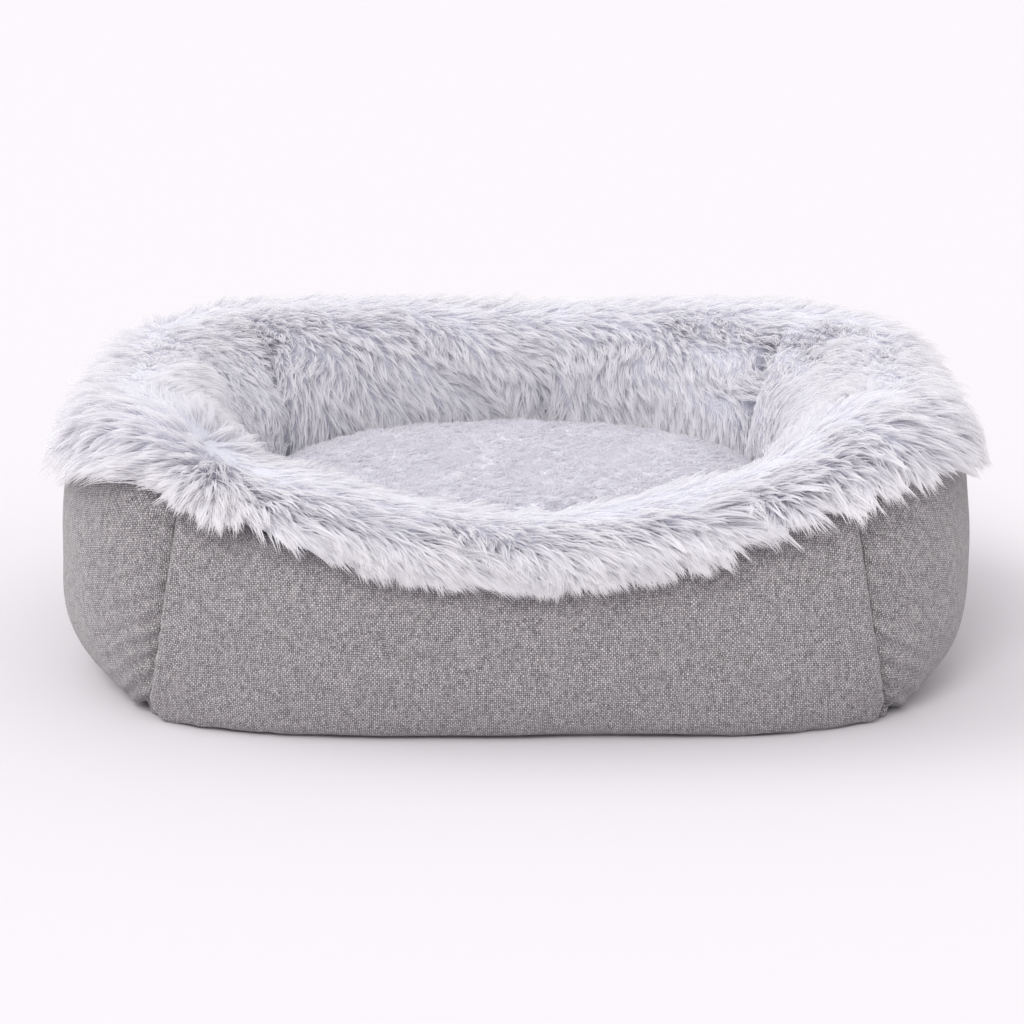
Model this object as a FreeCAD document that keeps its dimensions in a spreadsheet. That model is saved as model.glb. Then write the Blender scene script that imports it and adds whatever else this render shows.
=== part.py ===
import FreeCAD
import Part
import math
import os
import Sketcher

# Pet cushion bed: four bolster walls covered in woven cloth, lined and collared with long pile,
# round an oval well that holds a loose cushion.  The entry at the front is lowered.
# Frame: origin on the floor under the middle of the bed, +X to the bed's right, +Y to its back,
# +Z up.  All lengths are millimetres, all angles degrees.

# ---------------------------------------------------------------- driving dimensions

SIZES = {
    # whole bed
    "body_width": 560.0,          # across the woven walls at their fullest
    "body_depth": 450.0,
    "outline_exponent": 3.2,      # squareness of the bed's outline
    "rim_top": 178.0,             # top of the pile at the back and the sides
    "entry_top": 127.0,           # top of the pile in the middle of the entry
    "entry_reach": 0.8,           # where the entry dip ends, as a share of half the width
    # the sleeping well
    "well_width": 320.0,
    "well_depth": 266.0,
    "well_floor": 21.7,           # top of the well's floor cloth, with a sewing gap
    # seams round the walls
    "corner_angle": 43.1,         # where each corner seam meets the outside of the wall
    "seam_swing": 22.35,          # how far the seams lean round towards the ends of the well
    "back_seam_angle": 85.0,      # the middle seam of the back lining, right of the centre
    "seam_gap_angle": 0.06,
    "panel_foot": 424.0,          # width of the front and back cloth panels at the floor
    "panel_head": 380.0,          # and at the height of the rim
    "panel_overlap_angle": 9.0,   # the wall is drawn this far past a seam before it is cut there
    # a wall's cross-section
    "bulge_share": 0.36,          # height of the fullest line, as a share of the rim's height
    "foot_width": 464.0,          # the outline that the walls draw in to on the floor
    "foot_depth": 406.0,
    "foot_exponent": 4.5,
    "crest_setback": 46.0,        # the crest behind the outside of the back wall
    "crest_drift": 0.3,           # and further in where the wall is thicker
    "shoulder_exponent": 3.2,
    "tuck_exponent": 2.2,
    "wall_exponent": 2.4,
    "wall_turn_share": 0.5,       # height at which the inner wall starts to roll over
    # cloth and pile
    "cloth": 1.2,
    "gap": 0.6,
    "rim_pile": 16.0,
    "wall_pile": 12.0,
    "collar_tip": 6.0,            # depth of the pile at the collar's lower edge
    "seam_below_top": 30.0,       # the collar's seam under the top of the pile
    "collar_drop": 16.0,          # the pile hangs this far below that seam
    "hem_turn": 12.0,             # the woven cloth turned in under the bed
    # base
    "base_width": 458.0,
    "base_depth": 400.0,
    "base_corner": 110.0,
    "base_level": 1.4,
    "pad_margin": 9.0,            # the base pad reaches this far under the walls
    "dot_size": 6.0,
    "dot_pitch": 30.0,
    "dot_columns": 13,
    "dot_rows": 11,
    # loose cushion
    "cushion_length": 316.0,
    "cushion_depth": 262.0,
    "cushion_seam": 66.0,         # height of the seam round its edge
    "cushion_top": 116.0,
    "cushion_under": 21.6,
    "cushion_crown": 48.0,        # how far the top rounds in from the edge
    "cushion_belly": 60.0,        # how far the underside rounds in
    "cushion_pile": 11.0,
}

STATION_STEP = 6.0                # spacing of the cross-sections along a wall
CONTOUR_STEP = 9.0              # spacing of the points round a cross-section

doc = FreeCAD.newDocument("PetCushionBed")
sheet = doc.addObject("Spreadsheet::Sheet", "Sizes")
for row, (alias, number) in enumerate(SIZES.items(), start=1):
    sheet.set(f"A{row}", alias)
    sheet.set(f"B{row}", str(number))
    sheet.setAlias(f"B{row}", alias)
doc.recompute()


def size(alias):
    """Read one driving dimension from the sheet."""
    return float(sheet.get(alias))


# ---------------------------------------------------------------- plan of the bed

def closed_curve_radius(angle, half_width, half_depth, exponent):
    """Distance from the centre to a superellipse in the direction of an angle."""
    across = abs(math.cos(math.radians(angle))) / half_width
    along = abs(math.sin(math.radians(angle))) / half_depth
    return (across ** exponent + along ** exponent) ** (-1.0 / exponent)


def polar(angle, radius):
    """A point on the floor at an angle and distance from the centre."""
    turn = math.radians(angle)
    return FreeCAD.Vector(radius * math.cos(turn), radius * math.sin(turn), 0.0)


def outer_point(angle):
    """The outside of the wall at its fullest, seen from above."""
    radius = closed_curve_radius(angle, size("body_width") / 2, size("body_depth") / 2,
                                 size("outline_exponent"))
    return polar(angle, radius)


def inner_point(angle):
    """The well's edge at the station that meets the outside at an angle."""
    swung = angle - size("seam_swing") * math.sin(math.radians(2 * angle))
    radius = closed_curve_radius(swung, size("well_width") / 2, size("well_depth") / 2, 2.0)
    return polar(swung, radius)


def tuck_at(outer, outward):
    """How far the wall draws in from its fullest line to the outline on the floor."""
    near, far = 0.0, size("body_width") / 4
    for _ in range(40):
        middle = (near + far) / 2
        foot = outer - outward * middle
        angle = math.degrees(math.atan2(foot.y, foot.x))
        edge = closed_curve_radius(angle, size("foot_width") / 2, size("foot_depth") / 2,
                                   size("foot_exponent"))
        if foot.Length > edge:
            near = middle
        else:
            far = middle
    return near


def pile_top(outer):
    """Height of the pile's top behind a point of the outline: lower across the entry."""
    if outer.y > 0:
        return size("rim_top")
    reach = min(abs(outer.x) / (size("entry_reach") * size("body_width") / 2), 1.0)
    dip = math.cos(math.radians(90.0 * reach))
    return size("rim_top") - (size("rim_top") - size("entry_top")) * dip


# ---------------------------------------------------------------- cross-section of a wall

class Quarter:
    """A quarter of a superellipse in the plane of a cross-section."""

    def __init__(self, centre, reach_u, reach_z, exponent):
        self.centre = centre
        self.reach_u = reach_u
        self.reach_z = reach_z
        self.exponent = exponent

    def point(self, angle, offset):
        """A point at an angle from level (0) to upright (90), moved out by an offset."""
        radius = closed_curve_radius(angle, abs(self.reach_u), abs(self.reach_z), self.exponent)
        across = radius * abs(math.cos(math.radians(angle)))
        upward = radius * abs(math.sin(math.radians(angle)))
        power = self.exponent - 1.0
        slope_u = across ** power / abs(self.reach_u) ** self.exponent
        slope_z = upward ** power / abs(self.reach_z) ** self.exponent
        length = math.hypot(slope_u, slope_z)
        sign_u = math.copysign(1.0, self.reach_u)
        sign_z = math.copysign(1.0, self.reach_z)
        return (self.centre[0] + sign_u * (across + offset * slope_u / length),
                self.centre[1] + sign_z * (upward + offset * slope_z / length))

    def angle_at_height(self, height):
        """The angle at which the curve passes a height."""
        share = (height - self.centre[1]) / self.reach_z
        across = abs(self.reach_u) * (1.0 - share ** self.exponent) ** (1.0 / self.exponent)
        return math.degrees(math.atan2(share * abs(self.reach_z), across))


def steps(first, last, spacing):
    """Evenly spaced values from first to last, both included."""
    count = max(2, round(abs(last - first) / spacing) + 1)
    return [first + (last - first) * index / (count - 1) for index in range(count)]


class Station:
    """One upright cross-section of the wall, from the well's edge (u = 0) to the outside."""

    def __init__(self, angle):
        self.outer = outer_point(angle)
        self.inner = inner_point(angle)
        self.width = (self.outer - self.inner).Length
        self.outward = (self.outer - self.inner).normalize()
        self.top = pile_top(self.outer)
        self.cloth_top = self.top - size("rim_pile")
        self.bulge = size("bulge_share") * self.top
        self.tuck = tuck_at(self.outer, self.outward)
        thicker = self.width - (size("body_depth") - size("well_depth")) / 2
        self.crest = self.width - size("crest_setback") - size("crest_drift") * thicker
        self.wall = size("wall_pile")
        self.wall_turn = size("wall_turn_share") * self.cloth_top
        self.seam = self.top - size("seam_below_top")
        self.tucked = Quarter((self.width - self.tuck, self.bulge), self.tuck, -self.bulge,
                              size("tuck_exponent"))
        self.shoulder = Quarter((self.crest, self.bulge), self.width - self.crest,
                                self.cloth_top - self.bulge, size("shoulder_exponent"))
        self.inside = Quarter((self.crest, self.wall_turn), self.wall - self.crest,
                              self.cloth_top - self.wall_turn, size("wall_exponent"))

    def place(self, point):
        """A point of the cross-section in the bed's frame."""
        across, height = point
        return self.inner + self.outward * across + FreeCAD.Vector(0, 0, height)

    def curve(self, points):
        """A smooth edge through points of the cross-section."""
        spline = Part.BSplineCurve()
        spline.interpolate([self.place(point) for point in points])
        return spline.toShape()

    def line(self, start, end):
        """A straight edge between two points of the cross-section."""
        return Part.makeLine(self.place(start), self.place(end))

    def outside_contour(self, offset, low_angle, high_angle):
        """Points up the outside, from an angle of the tuck to an angle of the shoulder."""
        low = [self.tucked.point(angle, offset)
               for angle in steps(low_angle, 0.0, CONTOUR_STEP)]
        high = [self.shoulder.point(angle, offset)
                for angle in steps(0.0, high_angle, CONTOUR_STEP)]
        return low + high[1:]

    def inside_contour(self, offset, bottom, wall_offset=None):
        """Points from the crest down the inner wall to a height."""
        wall_offset = offset if wall_offset is None else wall_offset
        turned = [self.inside.point(angle, wall_offset + (offset - wall_offset) * angle / 90.0)
                  for angle in steps(90.0, 0.0, CONTOUR_STEP)]
        straight = [(self.wall - wall_offset, height)
                    for height in steps(self.wall_turn, bottom, 20.0)]
        return turned + straight[1:]


def outer_panel_wire(station):
    """Woven cloth: from the hem under the bed, up the outside, to the collar's seam."""
    cloth = size("cloth")
    seam_angle = station.shoulder.angle_at_height(station.seam)
    hem_end = station.width - station.tuck - size("hem_turn")
    outside = station.outside_contour(0.0, 90.0, seam_angle)
    lining = station.outside_contour(-cloth, 90.0, seam_angle)
    return Part.Wire([
        station.line((hem_end, 0.0), outside[0]),
        station.curve(outside),
        station.line(outside[-1], lining[-1]),
        station.curve(lining[::-1]),
        station.line(lining[0], (hem_end, cloth)),
        station.line((hem_end, cloth), (hem_end, 0.0)),
    ])


def fur_wire(station):
    """Pile and its backing: from the collar's hanging edge, over the rim, to the well floor."""
    cloth = size("cloth")
    gap = size("gap")
    rim_pile = size("rim_pile")
    floor = size("well_floor")
    seam_angle = station.shoulder.angle_at_height(station.seam + gap)
    tip_angle = station.shoulder.angle_at_height(station.seam - size("collar_drop"))
    collar_angles = steps(tip_angle, seam_angle, 4.0)
    growth = rim_pile - size("collar_tip")
    collar = [station.shoulder.point(angle, size("collar_tip") + growth * index
                                     / (len(collar_angles) - 1))
              for index, angle in enumerate(collar_angles)]
    over = [station.shoulder.point(angle, rim_pile)
            for angle in steps(seam_angle, 90.0, CONTOUR_STEP)]
    down = station.inside_contour(rim_pile, floor, size("wall_pile"))
    pile = collar + over[1:] + down[1:]
    backing = station.inside_contour(-cloth, floor)[::-1]
    backing += [station.shoulder.point(angle, -cloth)
                for angle in steps(90.0, seam_angle, CONTOUR_STEP)][1:]
    hang = [station.shoulder.point(angle, gap) for angle in collar_angles[::-1]]
    return Part.Wire([
        station.curve(pile),
        station.line(pile[-1], backing[0]),
        station.curve(backing),
        station.line(backing[-1], hang[0]),
        station.curve(hang),
        station.line(hang[-1], pile[0]),
    ])


def filling_wire(station):
    """The stuffing: everything inside the cloth and the backing, down to the base cloth."""
    depth = -(size("cloth") + size("gap"))
    bottom = size("base_level") + size("cloth") + size("gap")
    outside = station.outside_contour(depth, station.tucked.angle_at_height(bottom / 2), 90.0)
    inside = station.inside_contour(depth, bottom)
    return Part.Wire([
        station.curve(outside + inside[1:]),
        station.line(inside[-1], outside[0]),
    ])


def wall_loft(wire_of, start, end):
    """A solid along the wall through cross-sections between two angles."""
    wires = [wire_of(Station(angle)) for angle in steps(start, end, STATION_STEP)]
    return Part.makeLoft(wires, True, False)


def feature(label, shape):
    """Put a shape in the document as a piece of its own."""
    piece = doc.addObject("Part::Feature", label)
    piece.Shape = shape
    piece.Placement = FreeCAD.Placement()
    piece.Label = label
    return piece


def wall_piece(label, wire_of, start, end):
    """Loft one piece of the wall between two seams, given by their angles."""
    gap = size("seam_gap_angle")
    return feature(label, wall_loft(wire_of, start + gap, end - gap))


def middle_block(side, widening):
    """The leaning-sided block that bounds the front (-1) or back (1) cloth panel."""
    foot = size("panel_foot") / 2 + widening
    head = size("panel_head") / 2 + widening
    low, high = -size("hem_turn"), size("rim_top")
    lean = (head - foot) / high
    corners = [(-foot - lean * low, low), (foot + lean * low, low), (head, high), (-head, high)]
    outline = [FreeCAD.Vector(across, 0, height) for across, height in corners]
    face = Part.Face(Part.makePolygon(outline + outline[:1]))
    return face.extrude(FreeCAD.Vector(0, side * size("body_depth"), 0))


def middle_panel(label, side, start, end):
    """The front or back cloth panel, cut along its two leaning corner seams."""
    overlap = size("panel_overlap_angle")
    shell = wall_loft(outer_panel_wire, start - overlap, end + overlap)
    return feature(label, shell.common(middle_block(side, -size("gap") / 2)).Solids[0])


def end_panel(label, start, end):
    """The left or right cloth panel, wrapping both corners up to the middle panels."""
    overlap = size("panel_overlap_angle")
    shell = wall_loft(outer_panel_wire, start - overlap, end + overlap)
    for side in (-1, 1):
        shell = shell.cut(middle_block(side, size("gap") / 2))
    return feature(label, shell.Solids[0])


# ---------------------------------------------------------------- sketched pieces

def origin_plane(body, role):
    """One of a body's own origin planes."""
    return next(plane for plane in body.Origin.OriginFeatures if plane.Role == role)


def new_body(label):
    """An empty body that may hold separate solids."""
    body = doc.addObject("PartDesign::Body", label)
    body.Label = label
    body.AllowCompound = True
    return body


def new_sketch(body, name, level):
    """A level sketch at a height given by an expression."""
    sketch = body.newObject("Sketcher::SketchObject", name)
    sketch.AttachmentSupport = [(origin_plane(body, "XY_Plane"), "")]
    sketch.MapMode = "FlatFace"
    sketch.setExpression("AttachmentOffset.Base.z", level)
    return sketch


def drive(sketch, constraint, name, expression):
    """Add a named dimension to a sketch and bind it to the sheet."""
    index = sketch.addConstraint(constraint)
    sketch.renameConstraint(index, name)
    sketch.setExpression(f"Constraints.{name}", expression)


def draw_oval(sketch, length, depth):
    """An ellipse about the origin, its axes bound to two expressions."""
    flat = Part.Ellipse(FreeCAD.Vector(0, 0, 0), 100.0, 60.0)
    oval = sketch.addGeometry(flat, False)
    sketch.exposeInternalGeometry(oval)
    long_axis = oval + 1
    short_axis = oval + 2
    sketch.addConstraint(Sketcher.Constraint("Coincident", oval, 3, -1, 1))
    sketch.addConstraint(Sketcher.Constraint("Horizontal", long_axis))
    drive(sketch, Sketcher.Constraint("Distance", long_axis, 200.0), "oval_length", length)
    drive(sketch, Sketcher.Constraint("Distance", short_axis, 120.0), "oval_depth", depth)


def draw_rounded_rectangle(sketch, width, depth, corner):
    """A rounded rectangle about the origin, bound to three expressions."""
    half_w, half_d, radius = 200.0, 150.0, 100.0
    centre_x, centre_y = half_w - radius, half_d - radius
    sides = [
        ((-centre_x, -half_d), (centre_x, -half_d)),
        ((half_w, -centre_y), (half_w, centre_y)),
        ((centre_x, half_d), (-centre_x, half_d)),
        ((-half_w, centre_y), (-half_w, -centre_y)),
    ]
    corners = [(centre_x, -centre_y, 270), (centre_x, centre_y, 0),
               (-centre_x, centre_y, 90), (-centre_x, -centre_y, 180)]
    for (start, end), (across, along, turn) in zip(sides, corners):
        sketch.addGeometry(Part.LineSegment(FreeCAD.Vector(*start, 0), FreeCAD.Vector(*end, 0)))
        circle = Part.Circle(FreeCAD.Vector(across, along, 0), FreeCAD.Vector(0, 0, 1), radius)
        arc = Part.ArcOfCircle(circle, math.radians(turn), math.radians(turn + 90))
        sketch.addGeometry(arc)
    for side in range(4):
        line, arc, following = 2 * side, 2 * side + 1, (2 * side + 2) % 8
        sketch.addConstraint(Sketcher.Constraint("Tangent", line, 2, arc, 1))
        sketch.addConstraint(Sketcher.Constraint("Tangent", arc, 2, following, 1))
        if side:
            sketch.addConstraint(Sketcher.Constraint("Equal", 1, arc))
    sketch.addConstraint(Sketcher.Constraint("Symmetric", 0, 1, 0, 2, -2))
    sketch.addConstraint(Sketcher.Constraint("Symmetric", 2, 1, 2, 2, -1))
    sketch.addConstraint(Sketcher.Constraint("Horizontal", 4))
    sketch.addConstraint(Sketcher.Constraint("Vertical", 6))
    drive(sketch, Sketcher.Constraint("Radius", 1, radius), "corner", corner)
    drive(sketch, Sketcher.Constraint("DistanceY", 0, 1, 4, 1, 2 * half_d), "depth", depth)
    drive(sketch, Sketcher.Constraint("DistanceX", 6, 1, 2, 1, 2 * half_w), "width", width)


def pad(body, sketch, thickness):
    """Raise a sketch by a thickness given by an expression."""
    feature = body.newObject("PartDesign::Pad", f"{body.Label}_pad")
    feature.Profile = sketch
    feature.setExpression("Length", thickness)
    sketch.Visibility = False
    return feature


def base_panel():
    """The bottom cloth that the outer panels are sewn to."""
    body = new_body("base_panel")
    sketch = new_sketch(body, "base_outline", "Sizes.base_level")
    draw_rounded_rectangle(sketch, "Sizes.base_width", "Sizes.base_depth", "Sizes.base_corner")
    pad(body, sketch, "Sizes.cloth")
    return body


def grip_dots():
    """Rubber dots printed in rows on the underside of the bottom cloth."""
    body = new_body("grip_dots")
    sketch = new_sketch(body, "first_dot", "0")
    circle = Part.Circle(FreeCAD.Vector(-100, -100, 0), FreeCAD.Vector(0, 0, 1), 3.0)
    sketch.addGeometry(circle)
    drive(sketch, Sketcher.Constraint("Diameter", 0, 6.0), "dot", "Sizes.dot_size")
    drive(sketch, Sketcher.Constraint("DistanceX", 0, 3, -1, 1, 100.0), "row_start",
          "Sizes.dot_pitch * (Sizes.dot_columns - 1) / 2")
    drive(sketch, Sketcher.Constraint("DistanceY", 0, 3, -1, 1, 100.0), "column_start",
          "Sizes.dot_pitch * (Sizes.dot_rows - 1) / 2")
    dot = pad(body, sketch, "Sizes.base_level")
    doc.recompute()
    grid = body.newObject("PartDesign::MultiTransform", "dot_grid")
    rows = []
    for name, role, count in (("along_width", "X_Axis", "Sizes.dot_columns"),
                              ("along_depth", "Y_Axis", "Sizes.dot_rows")):
        line = body.newObject("PartDesign::LinearPattern", name)
        line.Direction = (origin_plane(body, role), [""])
        line.setExpression("Occurrences", count)
        line.setExpression("Length", f"Sizes.dot_pitch * ({count} - 1)")
        rows.append(line)
    grid.Originals = [dot]
    grid.Transformations = rows
    body.Tip = grid
    return body


def oval_pad(label, level, thickness):
    """A flat oval piece under the well, reaching a little way under the walls."""
    body = new_body(label)
    sketch = new_sketch(body, f"{label}_outline", level)
    draw_oval(sketch, "Sizes.well_width + 2 * Sizes.pad_margin",
              "Sizes.well_depth + 2 * Sizes.pad_margin")
    pad(body, sketch, thickness)
    return body


class CushionHalf:
    """The rounded form of one half of the cushion, as ovals at heights from its edge seam."""

    def __init__(self, rise, round_in):
        self.rise = rise
        self.round_in = round_in

    def sketches(self, body, name, inset, angles):
        """Ovals from the seam (angle 0) towards the middle (angle 90)."""
        ovals = []
        for index, angle in enumerate(angles):
            level = f"Sizes.cushion_seam + ({self.rise} - ({inset}) * {self.sign}) * sin({angle} deg)"
            drawn_in = f"2 * ({self.round_in}) * (1 - cos({angle} deg)) + 2 * ({inset})"
            sketch = new_sketch(body, f"{name}_{index}", level)
            draw_oval(sketch, f"Sizes.cushion_length - ({drawn_in})",
                      f"Sizes.cushion_depth - ({drawn_in})")
            sketch.Visibility = False
            ovals.append(sketch)
        return ovals

    @property
    def sign(self):
        """Up for the top half, down for the lower one."""
        return 1 if "top" in self.rise else -1


TOP_HALF = CushionHalf("(Sizes.cushion_top - Sizes.cushion_seam)", "Sizes.cushion_crown")
LOWER_HALF = CushionHalf("(Sizes.cushion_under - Sizes.cushion_seam)", "Sizes.cushion_belly")
HALF_ANGLES = (0, 22, 44, 64, 82)


def loft(body, kind, name, ovals):
    """Add or cut a smooth loft through ovals."""
    feature = body.newObject(kind, name)
    feature.Profile = ovals[0]
    feature.Sections = [(oval, [""]) for oval in ovals[1:]]
    return feature


def cushion_cover(label, half, thickness):
    """One cloth of the cushion: the half's form with a smaller form cut out of it."""
    body = new_body(label)
    outside = half.sketches(body, f"{label}_outside", "0", HALF_ANGLES)
    loft(body, "PartDesign::AdditiveLoft", f"{label}_form", outside)
    inside = half.sketches(body, f"{label}_inside", thickness, HALF_ANGLES)
    loft(body, "PartDesign::SubtractiveLoft", f"{label}_hollow", inside)
    return body


def cushion_filling():
    """The stuffing inside the cushion's two cloths."""
    body = new_body("cushion_filling")
    for half, name, inset in (
            (TOP_HALF, "upper", "Sizes.cushion_pile + Sizes.gap"),
            (LOWER_HALF, "lower", "Sizes.cloth + Sizes.gap")):
        ovals = half.sketches(body, f"filling_{name}", inset, HALF_ANGLES)
        loft(body, "PartDesign::AdditiveLoft", f"filling_{name}_form", ovals)
    return body


# ---------------------------------------------------------------- the bed

def seams():
    """The angles of the four corner seams, in order round the bed from the right."""
    corner = size("corner_angle")
    return {"back_right": corner, "back_left": 180.0 - corner,
            "front_left": 180.0 + corner, "front_right": 360.0 - corner}


def build_bed():
    """Build every piece of the bed and return them in order."""
    seam = seams()
    sides = {
        "front": (seam["front_left"], seam["front_right"]),
        "back": (seam["back_right"], seam["back_left"]),
        "left": (seam["back_left"], seam["front_left"]),
        "right": (seam["front_right"] - 360.0, seam["back_right"]),
    }
    pieces = [
        middle_panel("front_outer_panel", -1, *sides["front"]),
        middle_panel("back_outer_panel", 1, *sides["back"]),
        end_panel("left_outer_panel", *sides["left"]),
        end_panel("right_outer_panel", *sides["right"]),
    ]
    for side, (start, end) in sides.items():
        pieces.append(wall_piece(f"{side}_wall_filling", filling_wire, start, end))
    linings = {side: sides[side] for side in ("front", "left", "right")}
    middle = size("back_seam_angle")
    linings["back_right"] = (seam["back_right"], middle)
    linings["back_left"] = (middle, seam["back_left"])
    for side, (start, end) in linings.items():
        pieces.append(wall_piece(f"{side}_fur_lining", fur_wire, start, end))
    pad_level = "Sizes.base_level + Sizes.cloth + Sizes.gap"
    floor_level = "Sizes.well_floor - Sizes.gap - Sizes.cloth"
    pieces += [
        base_panel(),
        grip_dots(),
        oval_pad("base_wadding", pad_level, f"{floor_level} - Sizes.gap - ({pad_level})"),
        oval_pad("well_floor_lining", floor_level, "Sizes.cloth"),
        cushion_cover("cushion_fur_top", TOP_HALF, "Sizes.cushion_pile"),
        cushion_cover("cushion_underside", LOWER_HALF, "Sizes.cloth"),
        cushion_filling(),
    ]
    doc.recompute()
    return pieces


def check_document(pieces):
    """Stop if any object failed or any piece is empty or broken."""
    for item in doc.Objects:
        if "Invalid" in item.State or "Error" in item.State:
            raise RuntimeError(f"{item.Label} failed: {item.State}")
    for piece in pieces:
        if piece.Shape.isNull() or not piece.Shape.isValid():
            raise RuntimeError(f"{piece.Label} has no valid shape")


def write_pieces(pieces):
    """Write one STEP file for each piece."""
    os.makedirs("parts", exist_ok=True)
    for piece in pieces:
        piece.Shape.exportStep(f"parts/{piece.Label}.step")
        print(f"{piece.Label}: {len(piece.Shape.Solids)} solid(s), {piece.Shape.Volume:.0f} mm3")


bed = build_bed()
check_document(bed)
write_pieces(bed)
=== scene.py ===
"""Pet cushion bed: woven bolster walls, a long-pile lining and collar, and a loose plush cushion."""
import logging
import math
from dataclasses import dataclass, field, replace
from enum import Enum

import bmesh
import bpy
import numpy as np
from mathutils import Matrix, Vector


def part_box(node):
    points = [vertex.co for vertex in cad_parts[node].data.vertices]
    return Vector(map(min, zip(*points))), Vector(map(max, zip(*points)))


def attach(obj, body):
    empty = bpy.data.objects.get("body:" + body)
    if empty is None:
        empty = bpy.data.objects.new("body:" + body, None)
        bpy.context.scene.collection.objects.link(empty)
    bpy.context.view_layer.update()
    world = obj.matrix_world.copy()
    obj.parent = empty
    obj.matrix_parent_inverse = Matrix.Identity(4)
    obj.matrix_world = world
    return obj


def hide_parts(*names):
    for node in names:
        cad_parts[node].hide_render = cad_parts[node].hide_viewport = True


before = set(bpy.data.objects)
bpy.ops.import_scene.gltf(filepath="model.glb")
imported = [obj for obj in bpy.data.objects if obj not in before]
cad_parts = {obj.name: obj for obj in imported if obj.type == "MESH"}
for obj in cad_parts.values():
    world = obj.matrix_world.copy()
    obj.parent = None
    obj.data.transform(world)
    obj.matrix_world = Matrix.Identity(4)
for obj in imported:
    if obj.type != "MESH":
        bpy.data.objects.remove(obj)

LOG = logging.getLogger("pet_bed")
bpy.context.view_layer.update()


# ---------------------------------------------------------------- sizes of the bed

@dataclass(frozen=True)
class BedSizes:
    """The bed's driving sizes, in metres, degrees and shares.

    Each hollow has its place across the bed, its reach and its depth.
    """

    half_width: float = 0.280
    half_depth: float = 0.225
    outline_exponent: float = 3.2
    rim_top: float = 0.178
    entry_top: float = 0.127
    entry_reach: float = 0.8
    well_half_width: float = 0.160
    well_half_depth: float = 0.133
    well_floor: float = 0.0217
    corner_angle: float = 43.1
    seam_swing: float = 22.35
    back_seam_angle: float = 85.0
    panel_foot: float = 0.217
    panel_head: float = 0.188
    foot_half_width: float = 0.232
    foot_half_depth: float = 0.210
    foot_exponent: float = 4.5
    bulge_share: float = 0.36
    crest_setback: float = 0.046
    crest_drift: float = 0.1
    shoulder_exponent: float = 3.2
    tuck_exponent: float = 2.2
    wall_exponent: float = 2.4
    wall_turn_share: float = 0.5
    hem_turn: float = 0.012
    rim_pile: float = 0.016
    wall_pile: float = 0.012
    seam_below_top: float = 0.030
    highest_seam_share: float = 0.97
    hollows: tuple = ((-0.180, 0.042, 0.012), (0.165, 0.048, 0.008))


# ---------------------------------------------------------------- the wall's form

def superellipse(angle: np.ndarray, half_a: np.ndarray, half_b: np.ndarray,
                 exponent: float) -> np.ndarray:
    """Distance from the middle of a superellipse to its edge.

    Args:
        angle: Direction in radians.
        half_a: Half size along the first axis.
        half_b: Half size along the second axis.
        exponent: Squareness; 2 is an ellipse.

    Returns:
        The distance for each angle.
    """
    across = np.abs(np.cos(angle)) / half_a
    along = np.abs(np.sin(angle)) / half_b
    return (across ** exponent + along ** exponent) ** (-1.0 / exponent)


def unit(vectors: np.ndarray) -> np.ndarray:
    """Scale vectors to a length of one."""
    return vectors / np.maximum(np.linalg.norm(vectors, axis=-1, keepdims=True), 1e-9)


def smooth(low: float, high: float, value: np.ndarray) -> np.ndarray:
    """A smooth step from 0 at low to 1 at high."""
    share = np.clip((value - low) / (high - low), 0.0, 1.0)
    return share * share * (3.0 - 2.0 * share)


class Level(float, Enum):
    """Places up and over the wall's cross-section, as values of the contour coordinate."""

    HEM = 0.0
    FOOT = 1.0
    FULLEST = 2.0
    CREST = 3.0
    TURN = 4.0
    FLOOR = 5.0


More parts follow.
